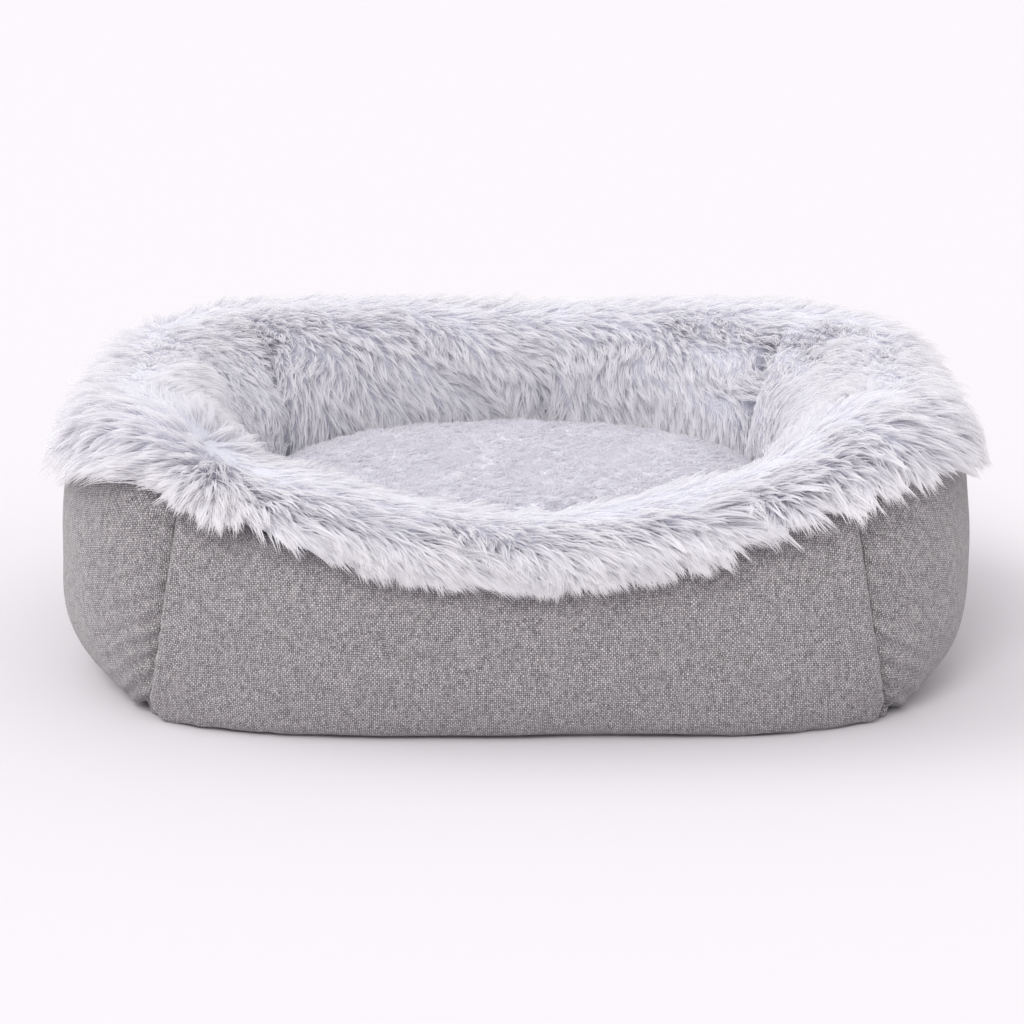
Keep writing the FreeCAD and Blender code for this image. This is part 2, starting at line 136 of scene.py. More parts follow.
@dataclass
class WallForm:
    """The wall's cloth surface over the angle round the bed and the contour coordinate."""

    sizes: BedSizes
    columns: int = 1440
    steps_per_level: int = 24
    points: np.ndarray = field(init=False)
    normals: np.ndarray = field(init=False)
    along: np.ndarray = field(init=False)
    up_and_over: np.ndarray = field(init=False)
    seam_level: np.ndarray = field(init=False)

    def __post_init__(self) -> None:
        """Work out the surface, its normals and its directions on a dense grid."""
        angle = np.linspace(0.0, 2.0 * math.pi, self.columns + 1)
        contour = self.cross_sections(angle)
        inner, outward, _ = self.plan(angle)
        across, height = contour[..., 0], contour[..., 1]
        flat = inner[:, None, :] + outward[:, None, :] * across[..., None]
        self.points = np.dstack([flat, height])
        self.along = self.difference(self.points, 0)
        self.up_and_over = self.difference(self.points, 1)
        self.normals = unit(np.cross(self.along, self.up_and_over))

    def difference(self, points: np.ndarray, axis: int) -> np.ndarray:
        """Unit directions of a grid of points along one of its axes."""
        if axis == 0:
            ring = points[:-1]
            step = np.roll(ring, -1, axis=0) - np.roll(ring, 1, axis=0)
            step = np.concatenate([step, step[:1]], axis=0)
        else:
            step = np.gradient(points, axis=1)
        return unit(step)

    def outer(self, angle: np.ndarray) -> np.ndarray:
        """The outside of the wall at its fullest, seen from above."""
        s = self.sizes
        radius = superellipse(angle, s.half_width, s.half_depth, s.outline_exponent)
        return np.stack([radius * np.cos(angle), radius * np.sin(angle)], axis=-1)

    def plan(self, angle: np.ndarray) -> tuple[np.ndarray, np.ndarray, np.ndarray]:
        """The well's edge, the outward direction and the wall's width at each angle."""
        s = self.sizes
        swung = angle - math.radians(s.seam_swing) * np.sin(2.0 * angle)
        radius = superellipse(swung, s.well_half_width, s.well_half_depth, 2.0)
        inner = np.stack([radius * np.cos(swung), radius * np.sin(swung)], axis=-1)
        gap = self.outer(angle) - inner
        return inner, unit(gap), np.linalg.norm(gap, axis=-1)

    def top(self, angle: np.ndarray) -> np.ndarray:
        """Height of the pile's top at each angle: lower across the entry."""
        s = self.sizes
        outer = self.outer(angle)
        share = np.minimum(np.abs(outer[:, 0]) / (s.entry_reach * s.half_width), 1.0)
        dip = np.where(outer[:, 1] < 0.0, np.cos(0.5 * math.pi * share), 0.0)
        return s.rim_top - (s.rim_top - s.entry_top) * dip

    def hollow(self, angle: np.ndarray) -> np.ndarray:
        """How much lower the crest lies beside the entry, towards the two ends."""
        outer = self.outer(angle)
        depths = [depth * np.exp(-((outer[:, 0] - place) / reach) ** 2)
                  for place, reach, depth in self.sizes.hollows]
        return np.where(outer[:, 1] < 0.0, sum(depths), 0.0)

    def tuck(self, angle: np.ndarray) -> np.ndarray:
        """How far the wall draws in from its fullest line to its outline on the floor."""
        s = self.sizes
        _, outward, _ = self.plan(angle)
        outer = self.outer(angle)
        near, far = np.zeros(len(angle)), np.full(len(angle), s.half_width / 2.0)
        for _ in range(30):
            middle = (near + far) / 2.0
            foot = outer - outward * middle[:, None]
            turn = np.arctan2(foot[:, 1], foot[:, 0])
            edge = superellipse(turn, s.foot_half_width, s.foot_half_depth, s.foot_exponent)
            outside = np.linalg.norm(foot, axis=-1) > edge
            near = np.where(outside, middle, near)
            far = np.where(outside, far, middle)
        return near

    def cross_sections(self, angle: np.ndarray) -> np.ndarray:
        """Points of the cloth's outline at each angle, as width from the well and height.

        Args:
            angle: Angles round the bed in radians.

        Returns:
            An array of angle, contour step and the pair of width and height.
        """
        s = self.sizes
        _, _, width = self.plan(angle)
        top = self.top(angle)
        cloth_top = top - s.rim_pile - self.hollow(angle)
        bulge = s.bulge_share * top
        tuck = self.tuck(angle)
        crest = width - s.crest_setback - s.crest_drift * (width - (s.half_depth
                                                                   - s.well_half_depth))
        turn_height = s.wall_turn_share * cloth_top
        count = self.steps_per_level
        share = np.linspace(0.0, 1.0, count + 1)[None, :]
        level_floor = np.zeros((len(angle), count + 1))

        def column(value: np.ndarray) -> np.ndarray:
            """Stand a value per angle beside the contour steps."""
            return value[:, None]

        def quarter(turn: np.ndarray, half_u: np.ndarray, half_z: np.ndarray,
                    exponent: float) -> tuple[np.ndarray, np.ndarray]:
            """Width and height over a quarter of a superellipse."""
            radius = superellipse(turn, column(np.abs(half_u)), column(half_z), exponent)
            return radius * np.cos(turn), radius * np.sin(turn)

        hem = (column(width - tuck) - s.hem_turn * (1.0 - share), level_floor)
        low_u, low_z = quarter(0.5 * math.pi * (1.0 - share), tuck, bulge, s.tuck_exponent)
        tucked = (column(width - tuck) + low_u, column(bulge) - low_z)
        high_u, high_z = quarter(0.5 * math.pi * share, width - crest, cloth_top - bulge,
                                 s.shoulder_exponent)
        shoulder = (column(crest) + high_u, column(bulge) + high_z)
        in_u, in_z = quarter(0.5 * math.pi * (1.0 - share), crest - s.wall_pile,
                             cloth_top - turn_height, s.wall_exponent)
        inside = (column(crest) - in_u, column(turn_height) + in_z)
        wall = (level_floor + s.wall_pile,
                column(turn_height) + (s.well_floor - column(turn_height)) * share)
        parts = [hem, tucked, shoulder, inside, wall]
        across = np.concatenate([part[0][:, :-1] for part in parts] + [wall[0][:, -1:]], axis=1)
        height = np.concatenate([part[1][:, :-1] for part in parts] + [wall[1][:, -1:]], axis=1)
        seam_share = np.minimum((top - s.seam_below_top - bulge) / (cloth_top - bulge),
                                s.highest_seam_share)
        lean = (1.0 - seam_share ** s.shoulder_exponent) ** (1.0 / s.shoulder_exponent)
        seam_turn = np.arctan2(seam_share * (cloth_top - bulge), lean * (width - crest))
        self.seam_level = Level.FULLEST + seam_turn / (0.5 * math.pi)
        return np.dstack([across, height])

    def sample(self, grid: np.ndarray, angle: np.ndarray, level: np.ndarray) -> np.ndarray:
        """Read a grid of values at any angles and levels.

        Args:
            grid: Values on the form's own grid.
            angle: Angles round the bed in degrees.
            level: Contour coordinates, 0 at the hem to 5 at the well's floor.

        Returns:
            The values between the grid's points.
        """
        column = (angle % 360.0) / 360.0 * self.columns
        row = np.clip(level, 0.0, Level.FLOOR) * self.steps_per_level
        left = np.minimum(column.astype(int), self.columns - 1)
        low = np.minimum(row.astype(int), grid.shape[1] - 2)
        part_c = (column - left)[..., None]
        part_r = (row - low)[..., None]
        below = grid[left, low] * (1 - part_c) + grid[left + 1, low] * part_c
        above = grid[left, low + 1] * (1 - part_c) + grid[left + 1, low + 1] * part_c
        return below * (1 - part_r) + above * part_r

    def point(self, angle: np.ndarray, level: np.ndarray, offset: np.ndarray | float = 0.0
              ) -> np.ndarray:
        """Points on the cloth, moved out along its normals by an offset."""
        base = self.sample(self.points, angle, level)
        if np.ndim(offset):
            offset = np.asarray(offset)[..., None]
        return base + unit(self.sample(self.normals, angle, level)) * offset

    def seam(self, angle: np.ndarray) -> np.ndarray:
        """The level of the collar's seam at angles in degrees."""
        column = np.linspace(0.0, 360.0, self.columns + 1)
        return np.interp(angle % 360.0, column, self.seam_level)


def turned_from(angle: np.ndarray, seam: float) -> np.ndarray:
    """How far each angle lies from a seam, in degrees: signed, and half a turn at most."""
    return (angle - seam + 180.0) % 360.0 - 180.0


# ---------------------------------------------------------------- mesh helpers

def mesh_from(bm: bmesh.types.BMesh, name: str) -> bpy.types.Mesh:
    """Turn what was built into a mesh under a name."""
    mesh = bpy.data.meshes.new(name)
    bm.to_mesh(mesh)
    bm.free()
    return mesh


def thicken(piece: bpy.types.Object, name: str, thickness: float) -> None:
    """Give a sheet its thickness, inwards from its face."""
    wall = piece.modifiers.new(name, "SOLIDIFY")
    wall.thickness = thickness
    wall.offset = -1.0


def low_spread(count: int, seed: float) -> np.ndarray:
    """Evenly spread pairs of numbers between 0 and 1, without clumps or rows."""
    index = np.arange(count)
    first = (seed + index * 0.7548776662466927) % 1.0
    second = (seed * 1.7 + index * 0.5698402909980532) % 1.0
    return np.stack([first, second], axis=-1)


def waves(points: np.ndarray, size: float, seed: int) -> np.ndarray:
    """A smooth wandering value between about -1 and 1 over points in space.

    Args:
        points: Places in metres.
        size: The width of a typical swell in metres.
        seed: Chooses the pattern.

    Returns:
        One value per point.
    """
    rng = np.random.default_rng(seed)
    total = np.zeros(points.shape[:-1])
    for _ in range(7):
        direction = unit(rng.normal(size=3))
        pitch = rng.uniform(0.6, 1.5) * 2.0 * math.pi / (2.0 * size)
        total += np.sin(points @ direction * pitch + rng.uniform(0.0, 2.0 * math.pi))
    return total / 3.2


def new_piece(name: str, mesh: bpy.types.Mesh, material: bpy.types.Material) -> bpy.types.Object:
    """Put a mesh in the scene under a name, with a material and smooth faces."""
    mesh.materials.clear()
    mesh.materials.append(material)
    mesh.shade_smooth()
    piece = bpy.data.objects.new(name, mesh)
    bpy.context.scene.collection.objects.link(piece)
    return piece


def grid_mesh(name: str, columns: int, rows: int) -> bpy.types.Mesh:
    """A flat grid of faces, columns by rows, ready to be laid over a form.

    Args:
        name: Name of the mesh.
        columns: Faces along the first direction.
        rows: Faces along the second direction.

    Returns:
        The mesh, its points in order of rows and then columns.
    """
    bm = bmesh.new()
    bmesh.ops.create_grid(bm, x_segments=columns, y_segments=rows, size=0.5)
    bm.verts.sort(key=lambda vert: (vert.co.y + 0.5) * rows * 2.0 + vert.co.x)
    bm.verts.index_update()
    return mesh_from(bm, name)


def lay_grid(mesh: bpy.types.Mesh, places: np.ndarray, chart: np.ndarray) -> None:
    """Move a grid's points to their places and give it a UV map in metres.

    Args:
        mesh: A mesh from grid_mesh.
        places: Positions, rows by columns by 3.
        chart: Flat positions on the cloth in metres, rows by columns by 2.
    """
    mesh.vertices.foreach_set("co", places.reshape(-1).astype(np.float32))
    corners = np.empty(len(mesh.loops), dtype=np.int32)
    mesh.loops.foreach_get("vertex_index", corners)
    layer = mesh.uv_layers.new(name="cloth")
    layer.data.foreach_set("uv", chart.reshape(-1, 2)[corners].reshape(-1).astype(np.float32))
    mesh.update()


# ---------------------------------------------------------------- fur

@dataclass(frozen=True)
class LockStyle:
    """One kind of pile: how its locks are built from fine tapering strands."""

    strands: int
    segments: int
    patterns: int
    tip_points: int
    strand_width: float
    length_spread: float
    gather: float
    seed: int


LONG_LOCK = LockStyle(strands=11, segments=3, patterns=7, tip_points=3, strand_width=0.00095,
                      length_spread=0.28, gather=0.78, seed=11)
PLUSH_LOCK = LockStyle(strands=5, segments=2, patterns=5, tip_points=2, strand_width=0.0010,
                       length_spread=0.35, gather=0.45, seed=29)


@dataclass
class LockPattern:
    """One lock's template: strands as tapering strips that gather towards a few tips.

    Across and depth are in half widths of the lock, and along runs from root to tip.
    """

    style: LockStyle
    number: int
    half_width: float
    along: np.ndarray = field(init=False)
    across: np.ndarray = field(init=False)
    depth: np.ndarray = field(init=False)
    strand_share: np.ndarray = field(init=False)
    faces: list[list[int]] = field(init=False)

    def __post_init__(self) -> None:
        """Build the strands and read their points and faces."""
        rng = np.random.default_rng(self.style.seed + 101 * self.number)
        bm = bmesh.new()
        share_layer = bm.verts.layers.float.new("strand")
        tips = np.sort(rng.uniform(-0.75, 0.75, self.style.tip_points))
        for strand in range(self.style.strands):
            self.add_strand(bm, share_layer, rng, tips[strand % len(tips)])
        bm.verts.index_update()
        self.along = np.array([vert.co.y for vert in bm.verts])
        self.across = np.array([vert.co.x for vert in bm.verts])
        self.depth = np.array([vert.co.z for vert in bm.verts])
        self.strand_share = np.array([vert[share_layer] for vert in bm.verts])
        self.faces = [[vert.index for vert in face.verts] for face in bm.faces]
        bm.free()

    def add_strand(self, bm: bmesh.types.BMesh, share_layer: object,
                   rng: np.random.Generator, tip: float) -> None:
        """Add one strand, a strip that narrows to a point.

        Args:
            bm: The mesh being built.
            share_layer: Layer that keeps the strand's own random number.
            rng: Source of the strand's differences.
            tip: Where the strand's group of tips comes together.
        """
        style = self.style
        made = bmesh.ops.create_grid(bm, x_segments=1, y_segments=style.segments, size=0.5)
        root, root_depth = rng.uniform(-1.0, 1.0), rng.uniform(-0.7, 0.7)
        end = root + (tip - root) * style.gather + rng.normal(0.0, 0.12)
        end_depth = root_depth * (1.0 - style.gather) + rng.normal(0.0, 0.18)
        length = 1.0 - rng.uniform(0.0, style.length_spread)
        roll = rng.uniform(-0.9, 0.9)
        bow = rng.normal(0.0, 0.16)
        half = 0.5 * style.strand_width / self.half_width * rng.uniform(0.75, 1.25)
        share = rng.uniform()
        for vert in made["verts"]:
            side, along = math.copysign(1.0, vert.co.x), vert.co.y + 0.5
            gathered = along ** 1.4
            taper = half * (1.0 - 0.82 * along ** 2.2)
            across = root + (end - root) * gathered + bow * math.sin(math.pi * along)
            depth = root_depth + (end_depth - root_depth) * gathered
            vert.co = Vector((across + side * taper * math.cos(roll), along * length,
                              depth + side * taper * math.sin(roll)))
            vert[share_layer] = share
        tip_verts = sorted(made["verts"], key=lambda vert: -vert.co.y)[:2]
        bmesh.ops.pointmerge(bm, verts=tip_verts, merge_co=(tip_verts[0].co + tip_verts[1].co) / 2)


@dataclass
class Planting:
    """Where the locks of one piece grow, and which way they are combed."""

    roots: np.ndarray
    normals: np.ndarray
    flow: np.ndarray
    length: np.ndarray
    half_width: np.ndarray
    lift: np.ndarray
    droop: float
    seed: int

    def rooted_in(self, keep: np.ndarray) -> "Planting":
        """The part of the planting that a mask keeps."""
        kept = {name: getattr(self, name)[keep]
                for name in ("roots", "normals", "flow", "length", "half_width", "lift")}
        return replace(self, **kept)


def planted_mesh(name: str, style: LockStyle, planting: Planting) -> bpy.types.Mesh:
    """Copy the style's lock patterns onto every root, bent along the combing.

    Args:
        name: Name of the mesh.
        style: The kind of pile.
        planting: The roots and their directions.

    Returns:
        A mesh whose UV map holds the lock's own tone across and its length along.
    """
    rng = np.random.default_rng(planting.seed)
    count = len(planting.roots)
    choice = rng.integers(0, style.patterns, count)
    tone = rng.uniform(size=count)
    usual = float(np.median(planting.half_width))
    points, corners, totals, charts = [], [], [], []
    start = 0
    for number in range(style.patterns):
        pattern = LockPattern(style, number, usual)
        own = np.flatnonzero(choice == number)
        part = planting.rooted_in(own)
        placed = bent_locks(pattern, part)
        size = len(pattern.along)
        flat = np.concatenate([np.array(face) for face in pattern.faces])
        totals.append(np.tile([len(face) for face in pattern.faces], len(own)))
        shift = start + size * np.arange(len(own))
        corners.append((flat[None, :] + shift[:, None]).reshape(-1))
        mixed = 0.6 * tone[own][:, None] + 0.4 * pattern.strand_share[None, :]
        along = np.broadcast_to(pattern.along[None, :], mixed.shape)
        chart = np.stack([mixed, along], axis=-1)
        charts.append(chart[:, flat].reshape(-1, 2))
        points.append(placed.reshape(-1, 3))
        start += size * len(own)
    return mesh_of(name, np.concatenate(points), np.concatenate(corners),
                   np.concatenate(totals), np.concatenate(charts))


def bent_locks(pattern: LockPattern, part: Planting) -> np.ndarray:
    """Place one pattern at many roots, each copy bent along its own combing.

    Args:
        pattern: The template lock.
        part: The roots that use it.

    Returns:
        Positions, locks by points by 3.
    """
    first = unit(part.normals * np.cos(part.lift)[:, None] + part.flow * np.sin(part.lift)[:, None])
    drop = np.array([0.0, 0.0, -part.droop])
    last = unit(part.flow + part.normals * 0.10 + drop)
    side = unit(np.cross(part.flow, part.normals))
    share = pattern.along[None, :, None]
    length = part.length[:, None, None]
    path = first[:, None, :] * share + (last - first)[:, None, :] * share * share / 2.0
    heading = unit(first[:, None, :] + (last - first)[:, None, :] * share)
    raised = unit(np.cross(side[:, None, :], heading))
    half = part.half_width[:, None, None]
    shift = (side[:, None, :] * pattern.across[None, :, None]
             + raised * pattern.depth[None, :, None]) * half
    return part.roots[:, None, :] + path * length + shift


def mesh_of(name: str, points: np.ndarray, corners: np.ndarray, totals: np.ndarray,
            chart: np.ndarray) -> bpy.types.Mesh:
    """Join copied locks into one mesh.

    Args:
        name: Name of the mesh.
        points: Positions of every copy's points.
        corners: Point numbers round every face.
        totals: How many corners each face has.
        chart: UV of every corner.

    Returns:
        The mesh.
    """
    mesh = bpy.data.meshes.new(name)
    mesh.vertices.add(len(points))
    mesh.vertices.foreach_set("co", points.reshape(-1).astype(np.float32))
    mesh.loops.add(len(corners))
    mesh.loops.foreach_set("vertex_index", corners.astype(np.int32))
    mesh.polygons.add(len(totals))
    starts = np.concatenate([[0], np.cumsum(totals)[:-1]])
    mesh.polygons.foreach_set("loop_start", starts.astype(np.int32))
    layer = mesh.uv_layers.new(name="lock")
    layer.data.foreach_set("uv", chart.reshape(-1).astype(np.float32))
    mesh.update(calc_edges=True)
    mesh.validate()
    return mesh


# ---------------------------------------------------------------- materials

class Nodes:
    """A short way to add and join shader nodes in one tree."""

    def __init__(self, tree: bpy.types.NodeTree) -> None:
        """Start with an empty tree."""
        self.tree = tree
        tree.nodes.clear()

    def add(self, kind: str, inputs: dict | None = None, **settings: object) -> bpy.types.Node:
        """Add a node.

        Args:
            kind: The node's type.
            inputs: Socket names or numbers, each with a value or an output to join to it.
            settings: Properties of the node.

        Returns:
            The node.
        """
        node = self.tree.nodes.new(kind)
        for key, value in settings.items():
            setattr(node, key, value)
        for key, value in (inputs or {}).items():
            if isinstance(value, bpy.types.NodeSocket):
                self.tree.links.new(value, node.inputs[key])
            else:
                node.inputs[key].default_value = value
        return node

    def noise(self, place: bpy.types.NodeSocket, scale: float, detail: float,
              roughness: float = 0.5) -> bpy.types.Node:
        """A noise texture over places."""
        return self.add("ShaderNodeTexNoise", {"Vector": place, "Scale": scale,
                                               "Detail": detail, "Roughness": roughness})

    def math(self, operation: str, *values: object, clamp: bool = False) -> bpy.types.NodeSocket:
        """A math node's result for one to three values or outputs."""
        node = self.add("ShaderNodeMath", dict(enumerate(values)), operation=operation,
                        use_clamp=clamp)
        return node.outputs[0]

    def mix(self, factor: object, first: object, second: object) -> bpy.types.NodeSocket:
        """Blend two colours."""
        return self.add("ShaderNodeMix", {0: factor, 6: first, 7: second},
                        data_type="RGBA").outputs[2]

    def spread(self, value: object, low: float, high: float, new_low: float,
               new_high: float) -> bpy.types.NodeSocket:
        """Carry a value from one range to another, held at its ends."""
        inputs = {0: value, 1: low, 2: high, 3: new_low, 4: new_high}
        return self.add("ShaderNodeMapRange", inputs).outputs[0]


def shade(red: float, green: float, blue: float) -> tuple[float, float, float, float]:
    """A colour given in display values from 0 to 255, as the renderer's linear values."""
    def linear(value: float) -> float:
        """One channel made linear."""
        part = value / 255.0
        return part / 12.92 if part <= 0.04045 else ((part + 0.055) / 1.055) ** 2.4
    return (linear(red), linear(green), linear(blue), 1.0)


def new_material(name: str) -> tuple[bpy.types.Material, Nodes]:
    """A material under a name, and its empty node tree."""
    material = bpy.data.materials.new(name)
    material.use_nodes = True
    return material, Nodes(material.node_tree)


def new_group(name: str, takes: dict[str, tuple[str, object]],
              gives: dict[str, str]) -> tuple[Nodes, dict, bpy.types.ShaderNodeTree, dict]:
    """Start a shader node group with named inputs and outputs.

    Args:
        name: Name of the group.
        takes: Input names, each with a socket type and a default.
        gives: Output names and their socket types.

    Returns:
        The group's nodes, its input sockets by name, the tree, and its output sockets by name.
    """
    tree = bpy.data.node_groups.new(name, "ShaderNodeTree")
    for label, (kind, default) in takes.items():
        socket = tree.interface.new_socket(label, in_out="INPUT", socket_type=kind)
        if default is not None:
            socket.default_value = default
    for label, kind in gives.items():
        tree.interface.new_socket(label, in_out="OUTPUT", socket_type=kind)
    nodes = Nodes(tree)
    source = nodes.add("NodeGroupInput")
    sink = nodes.add("NodeGroupOutput")
    return nodes, {s.name: s for s in source.outputs}, tree, {s.name: s for s in sink.inputs}


def weave_group() -> bpy.types.ShaderNodeTree:
    """Plain weave with uneven, mottled threads, read from a UV map in metres."""
    nodes, taken, tree, given = new_group(
        "uneven_plain_weave",
        {"Cloth place": ("NodeSocketVector", None),
         "Warp pitch": ("NodeSocketFloat", 0.0015),
         "Weft pitch": ("NodeSocketFloat", 0.0017),
         "Slub": ("NodeSocketFloat", 0.5)},
        {"Height": "NodeSocketFloat", "Thread tone": "NodeSocketFloat",
         "Mottle": "NodeSocketFloat"})
    wander = nodes.noise(taken["Cloth place"], 38.0, 3.0, 0.6)
    nudge = nodes.add("ShaderNodeVectorMath", {0: wander.outputs["Color"],
                                               1: (0.5, 0.5, 0.5)}, operation="SUBTRACT")
    amount = nodes.add("ShaderNodeVectorMath", {0: nudge.outputs[0], "Scale": 0.0042},
                       operation="SCALE")
    place = nodes.add("ShaderNodeVectorMath", {0: taken["Cloth place"], 1: amount.outputs[0]})
    split = nodes.add("ShaderNodeSeparateXYZ", {0: place.outputs[0]})
    across = nodes.math("DIVIDE", split.outputs[0], taken["Warp pitch"])
    down = nodes.math("DIVIDE", split.outputs[1], taken["Weft pitch"])

    def thread(own: bpy.types.NodeSocket, other: bpy.types.NodeSocket, seed: float,
               phase: float) -> tuple[bpy.types.NodeSocket, bpy.types.NodeSocket]:
        """One set of threads: how high each lies, and its own tone."""
        number = nodes.math("FLOOR", own)
        centre = nodes.math("SUBTRACT", nodes.math("FRACT", own), 0.5)
        parity = nodes.math("MULTIPLY", number, math.pi)
        ride = nodes.math("SINE", nodes.math("ADD", nodes.math("MULTIPLY", other, math.pi),
                                             nodes.math("ADD", parity, phase)))
        along = nodes.add("ShaderNodeCombineXYZ", {0: nodes.math("MULTIPLY", number, 3.17),
                                                   1: nodes.math("MULTIPLY", other, 0.3),
                                                   2: seed})
        own_noise = nodes.noise(along.outputs[0], 1.0, 2.0)
        tone = nodes.spread(own_noise.outputs["Fac"], 0.3, 0.7, 0.0, 1.0)
        fat = nodes.math("ADD", 1.0, nodes.math("MULTIPLY", taken["Slub"],
                                                nodes.math("SUBTRACT", tone, 0.5)))
        round_share = nodes.math("MULTIPLY", nodes.math("MULTIPLY", centre, centre), 3.6)
        body = nodes.math("SUBTRACT", fat, round_share)
        return nodes.math("ADD", body, nodes.math("MULTIPLY", ride, 0.55)), tone

    warp, warp_tone = thread(across, down, 2.3, 0.0)
    weft, weft_tone = thread(down, across, 7.9, math.pi)
    upper = nodes.math("MAXIMUM", warp, weft)
    over = nodes.math("GREATER_THAN", warp, weft)
    warp_share = nodes.math("MULTIPLY", nodes.spread(warp_tone, 0.0, 1.0, 0.66, 1.0), over)
    weft_share = nodes.math("MULTIPLY", nodes.spread(weft_tone, 0.0, 1.0, 0.18, 0.5),
                            nodes.math("SUBTRACT", 1.0, over))
    tone = nodes.math("ADD", warp_share, weft_share)
    mottle = nodes.noise(taken["Cloth place"], 95.0, 4.0, 0.65)
    links = nodes.tree.links
    links.new(nodes.spread(upper, 0.1, 1.7, 0.0, 1.0), given["Height"])
    links.new(tone, given["Thread tone"])
    links.new(mottle.outputs["Fac"], given["Mottle"])
    return tree


def hair_group() -> bpy.types.ShaderNodeTree:
    """Tone of a pile lock from its own number across and its length along."""
    nodes, taken, tree, given = new_group(
        "pile_tone",
        {"Lock place": ("NodeSocketVector", None),
         "Place": ("NodeSocketVector", None),
         "Root": ("NodeSocketColor", (0.3, 0.3, 0.35, 1.0)),
         "Tip": ("NodeSocketColor", (0.9, 0.9, 0.9, 1.0)),
         "Shaded": ("NodeSocketColor", (0.5, 0.5, 0.6, 1.0)),
         "Variation": ("NodeSocketFloat", 0.2)},
        {"Colour": "NodeSocketColor", "Fibre": "NodeSocketFloat"})
    split = nodes.add("ShaderNodeSeparateXYZ", {0: taken["Lock place"]})
    along = nodes.add("ShaderNodeMapRange", {0: split.outputs[1], 1: 0.0, 2: 0.75, 3: 0.0,
                                             4: 1.0}, interpolation_type="SMOOTHSTEP")
    # Painted shade: each strand darkens from its tip towards its root, deep in the pile.
    base = nodes.mix(along.outputs[0], taken["Root"], taken["Tip"])
    patch = nodes.noise(taken["Place"], 26.0, 2.0)
    cloudy = nodes.spread(patch.outputs["Fac"], 0.35, 0.7, 0.0, 1.0)
    uneven = nodes.math("ADD", nodes.math("MULTIPLY", cloudy, 0.5),
                        nodes.math("MULTIPLY", split.outputs[0], 0.8))
    toned = nodes.math("MULTIPLY", uneven, taken["Variation"], clamp=True)
    colour = nodes.mix(toned, base, taken["Shaded"])
    nodes.tree.links.new(colour, given["Colour"])
    nodes.tree.links.new(split.outputs[0], given["Fibre"])
    return tree


@dataclass(frozen=True)
class WovenCloth:
    """Heather-grey plain-weave cover cloth, with painted shade in the gaps between its threads."""

    warp_pitch: float = 0.00112
    weft_pitch: float = 0.00124
    slub: float = 0.6
    # Dark grey painted into the weave's gaps as shade, and mixed in a little by the random mottle.
    dark: tuple = shade(50, 48, 50)
    middle: tuple = shade(137, 133, 135)
    light: tuple = shade(208, 204, 205)
    roughness: float = 0.92

    def build(self) -> bpy.types.Material:
        """The cloth's material."""
        material, nodes = new_material("woven_grey_cloth")
        place = nodes.add("ShaderNodeUVMap", uv_map="cloth")
        weave = nodes.add("ShaderNodeGroup", {
            "Cloth place": place.outputs[0], "Warp pitch": self.warp_pitch,
            "Weft pitch": self.weft_pitch, "Slub": self.slub}, node_tree=weave_group())
        thread = nodes.mix(weave.outputs["Thread tone"], self.middle, self.light)
        # Painted shade: the low places between the threads are darkened towards the dark grey.
        gap = nodes.spread(weave.outputs["Height"], 0.22, 0.86, 1.0, 0.0)
        thread_with_gap_shade = nodes.mix(gap, thread, self.dark)
        cloud = nodes.spread(weave.outputs["Mottle"], 0.3, 0.7, 0.0, 0.06)
        colour = nodes.mix(cloud, thread_with_gap_shade, self.dark)
        bump = nodes.add("ShaderNodeBump", {"Height": weave.outputs["Height"], "Strength": 0.55,
                                            "Distance": 0.0006})
        rough = nodes.spread(weave.outputs["Thread tone"], 0.0, 1.0, self.roughness, 0.82)
        shader = nodes.add("ShaderNodeBsdfPrincipled", {
            "Base Color": colour, "Roughness": rough, "Normal": bump.outputs[0],
            "Sheen Weight": 0.25, "Sheen Roughness": 0.5, "Specular IOR Level": 0.2})
        nodes.add("ShaderNodeOutputMaterial", {0: shader.outputs[0]})
        return material


@dataclass(frozen=True)
class Pile:
    """Faux fur: a darker root as painted shade deep in the pile, a lighter tip and shaded locks
    between them.
    """

    name: str
    root: tuple
    tip: tuple
    shaded: tuple
    variation: float
    sheen: float = 0.2
    roughness: float = 0.75
    glow_through: float = 0.64

    def build(self, group: bpy.types.ShaderNodeTree) -> bpy.types.Material:
        """The locks' material.

        Args:
            group: The shared pile tone group.

        Returns:
            The material, reading the lock UV map.
        """
        material, nodes = new_material(self.name)
        lock = nodes.add("ShaderNodeUVMap", uv_map="lock")
        place = nodes.add("ShaderNodeTexCoord")
        tone = nodes.add("ShaderNodeGroup", {
            "Lock place": lock.outputs[0], "Place": place.outputs["Object"],
            "Root": self.root, "Tip": self.tip, "Shaded": self.shaded,
            "Variation": self.variation}, node_tree=group)
        rough = nodes.spread(tone.outputs["Fibre"], 0.0, 1.0, self.roughness - 0.1,
                             self.roughness + 0.1)
        shader = nodes.add("ShaderNodeBsdfPrincipled", {
            "Base Color": tone.outputs["Colour"], "Roughness": rough,
            "Sheen Weight": self.sheen, "Sheen Roughness": 0.4, "Specular IOR Level": 0.25})
        through = nodes.add("ShaderNodeBsdfTranslucent", {"Color": tone.outputs["Colour"]})
        mixed = nodes.add("ShaderNodeMixShader", {0: self.glow_through, 1: shader.outputs[0],
                                                  2: through.outputs[0]})
        nodes.add("ShaderNodeOutputMaterial", {0: mixed.outputs[0]})
        return material


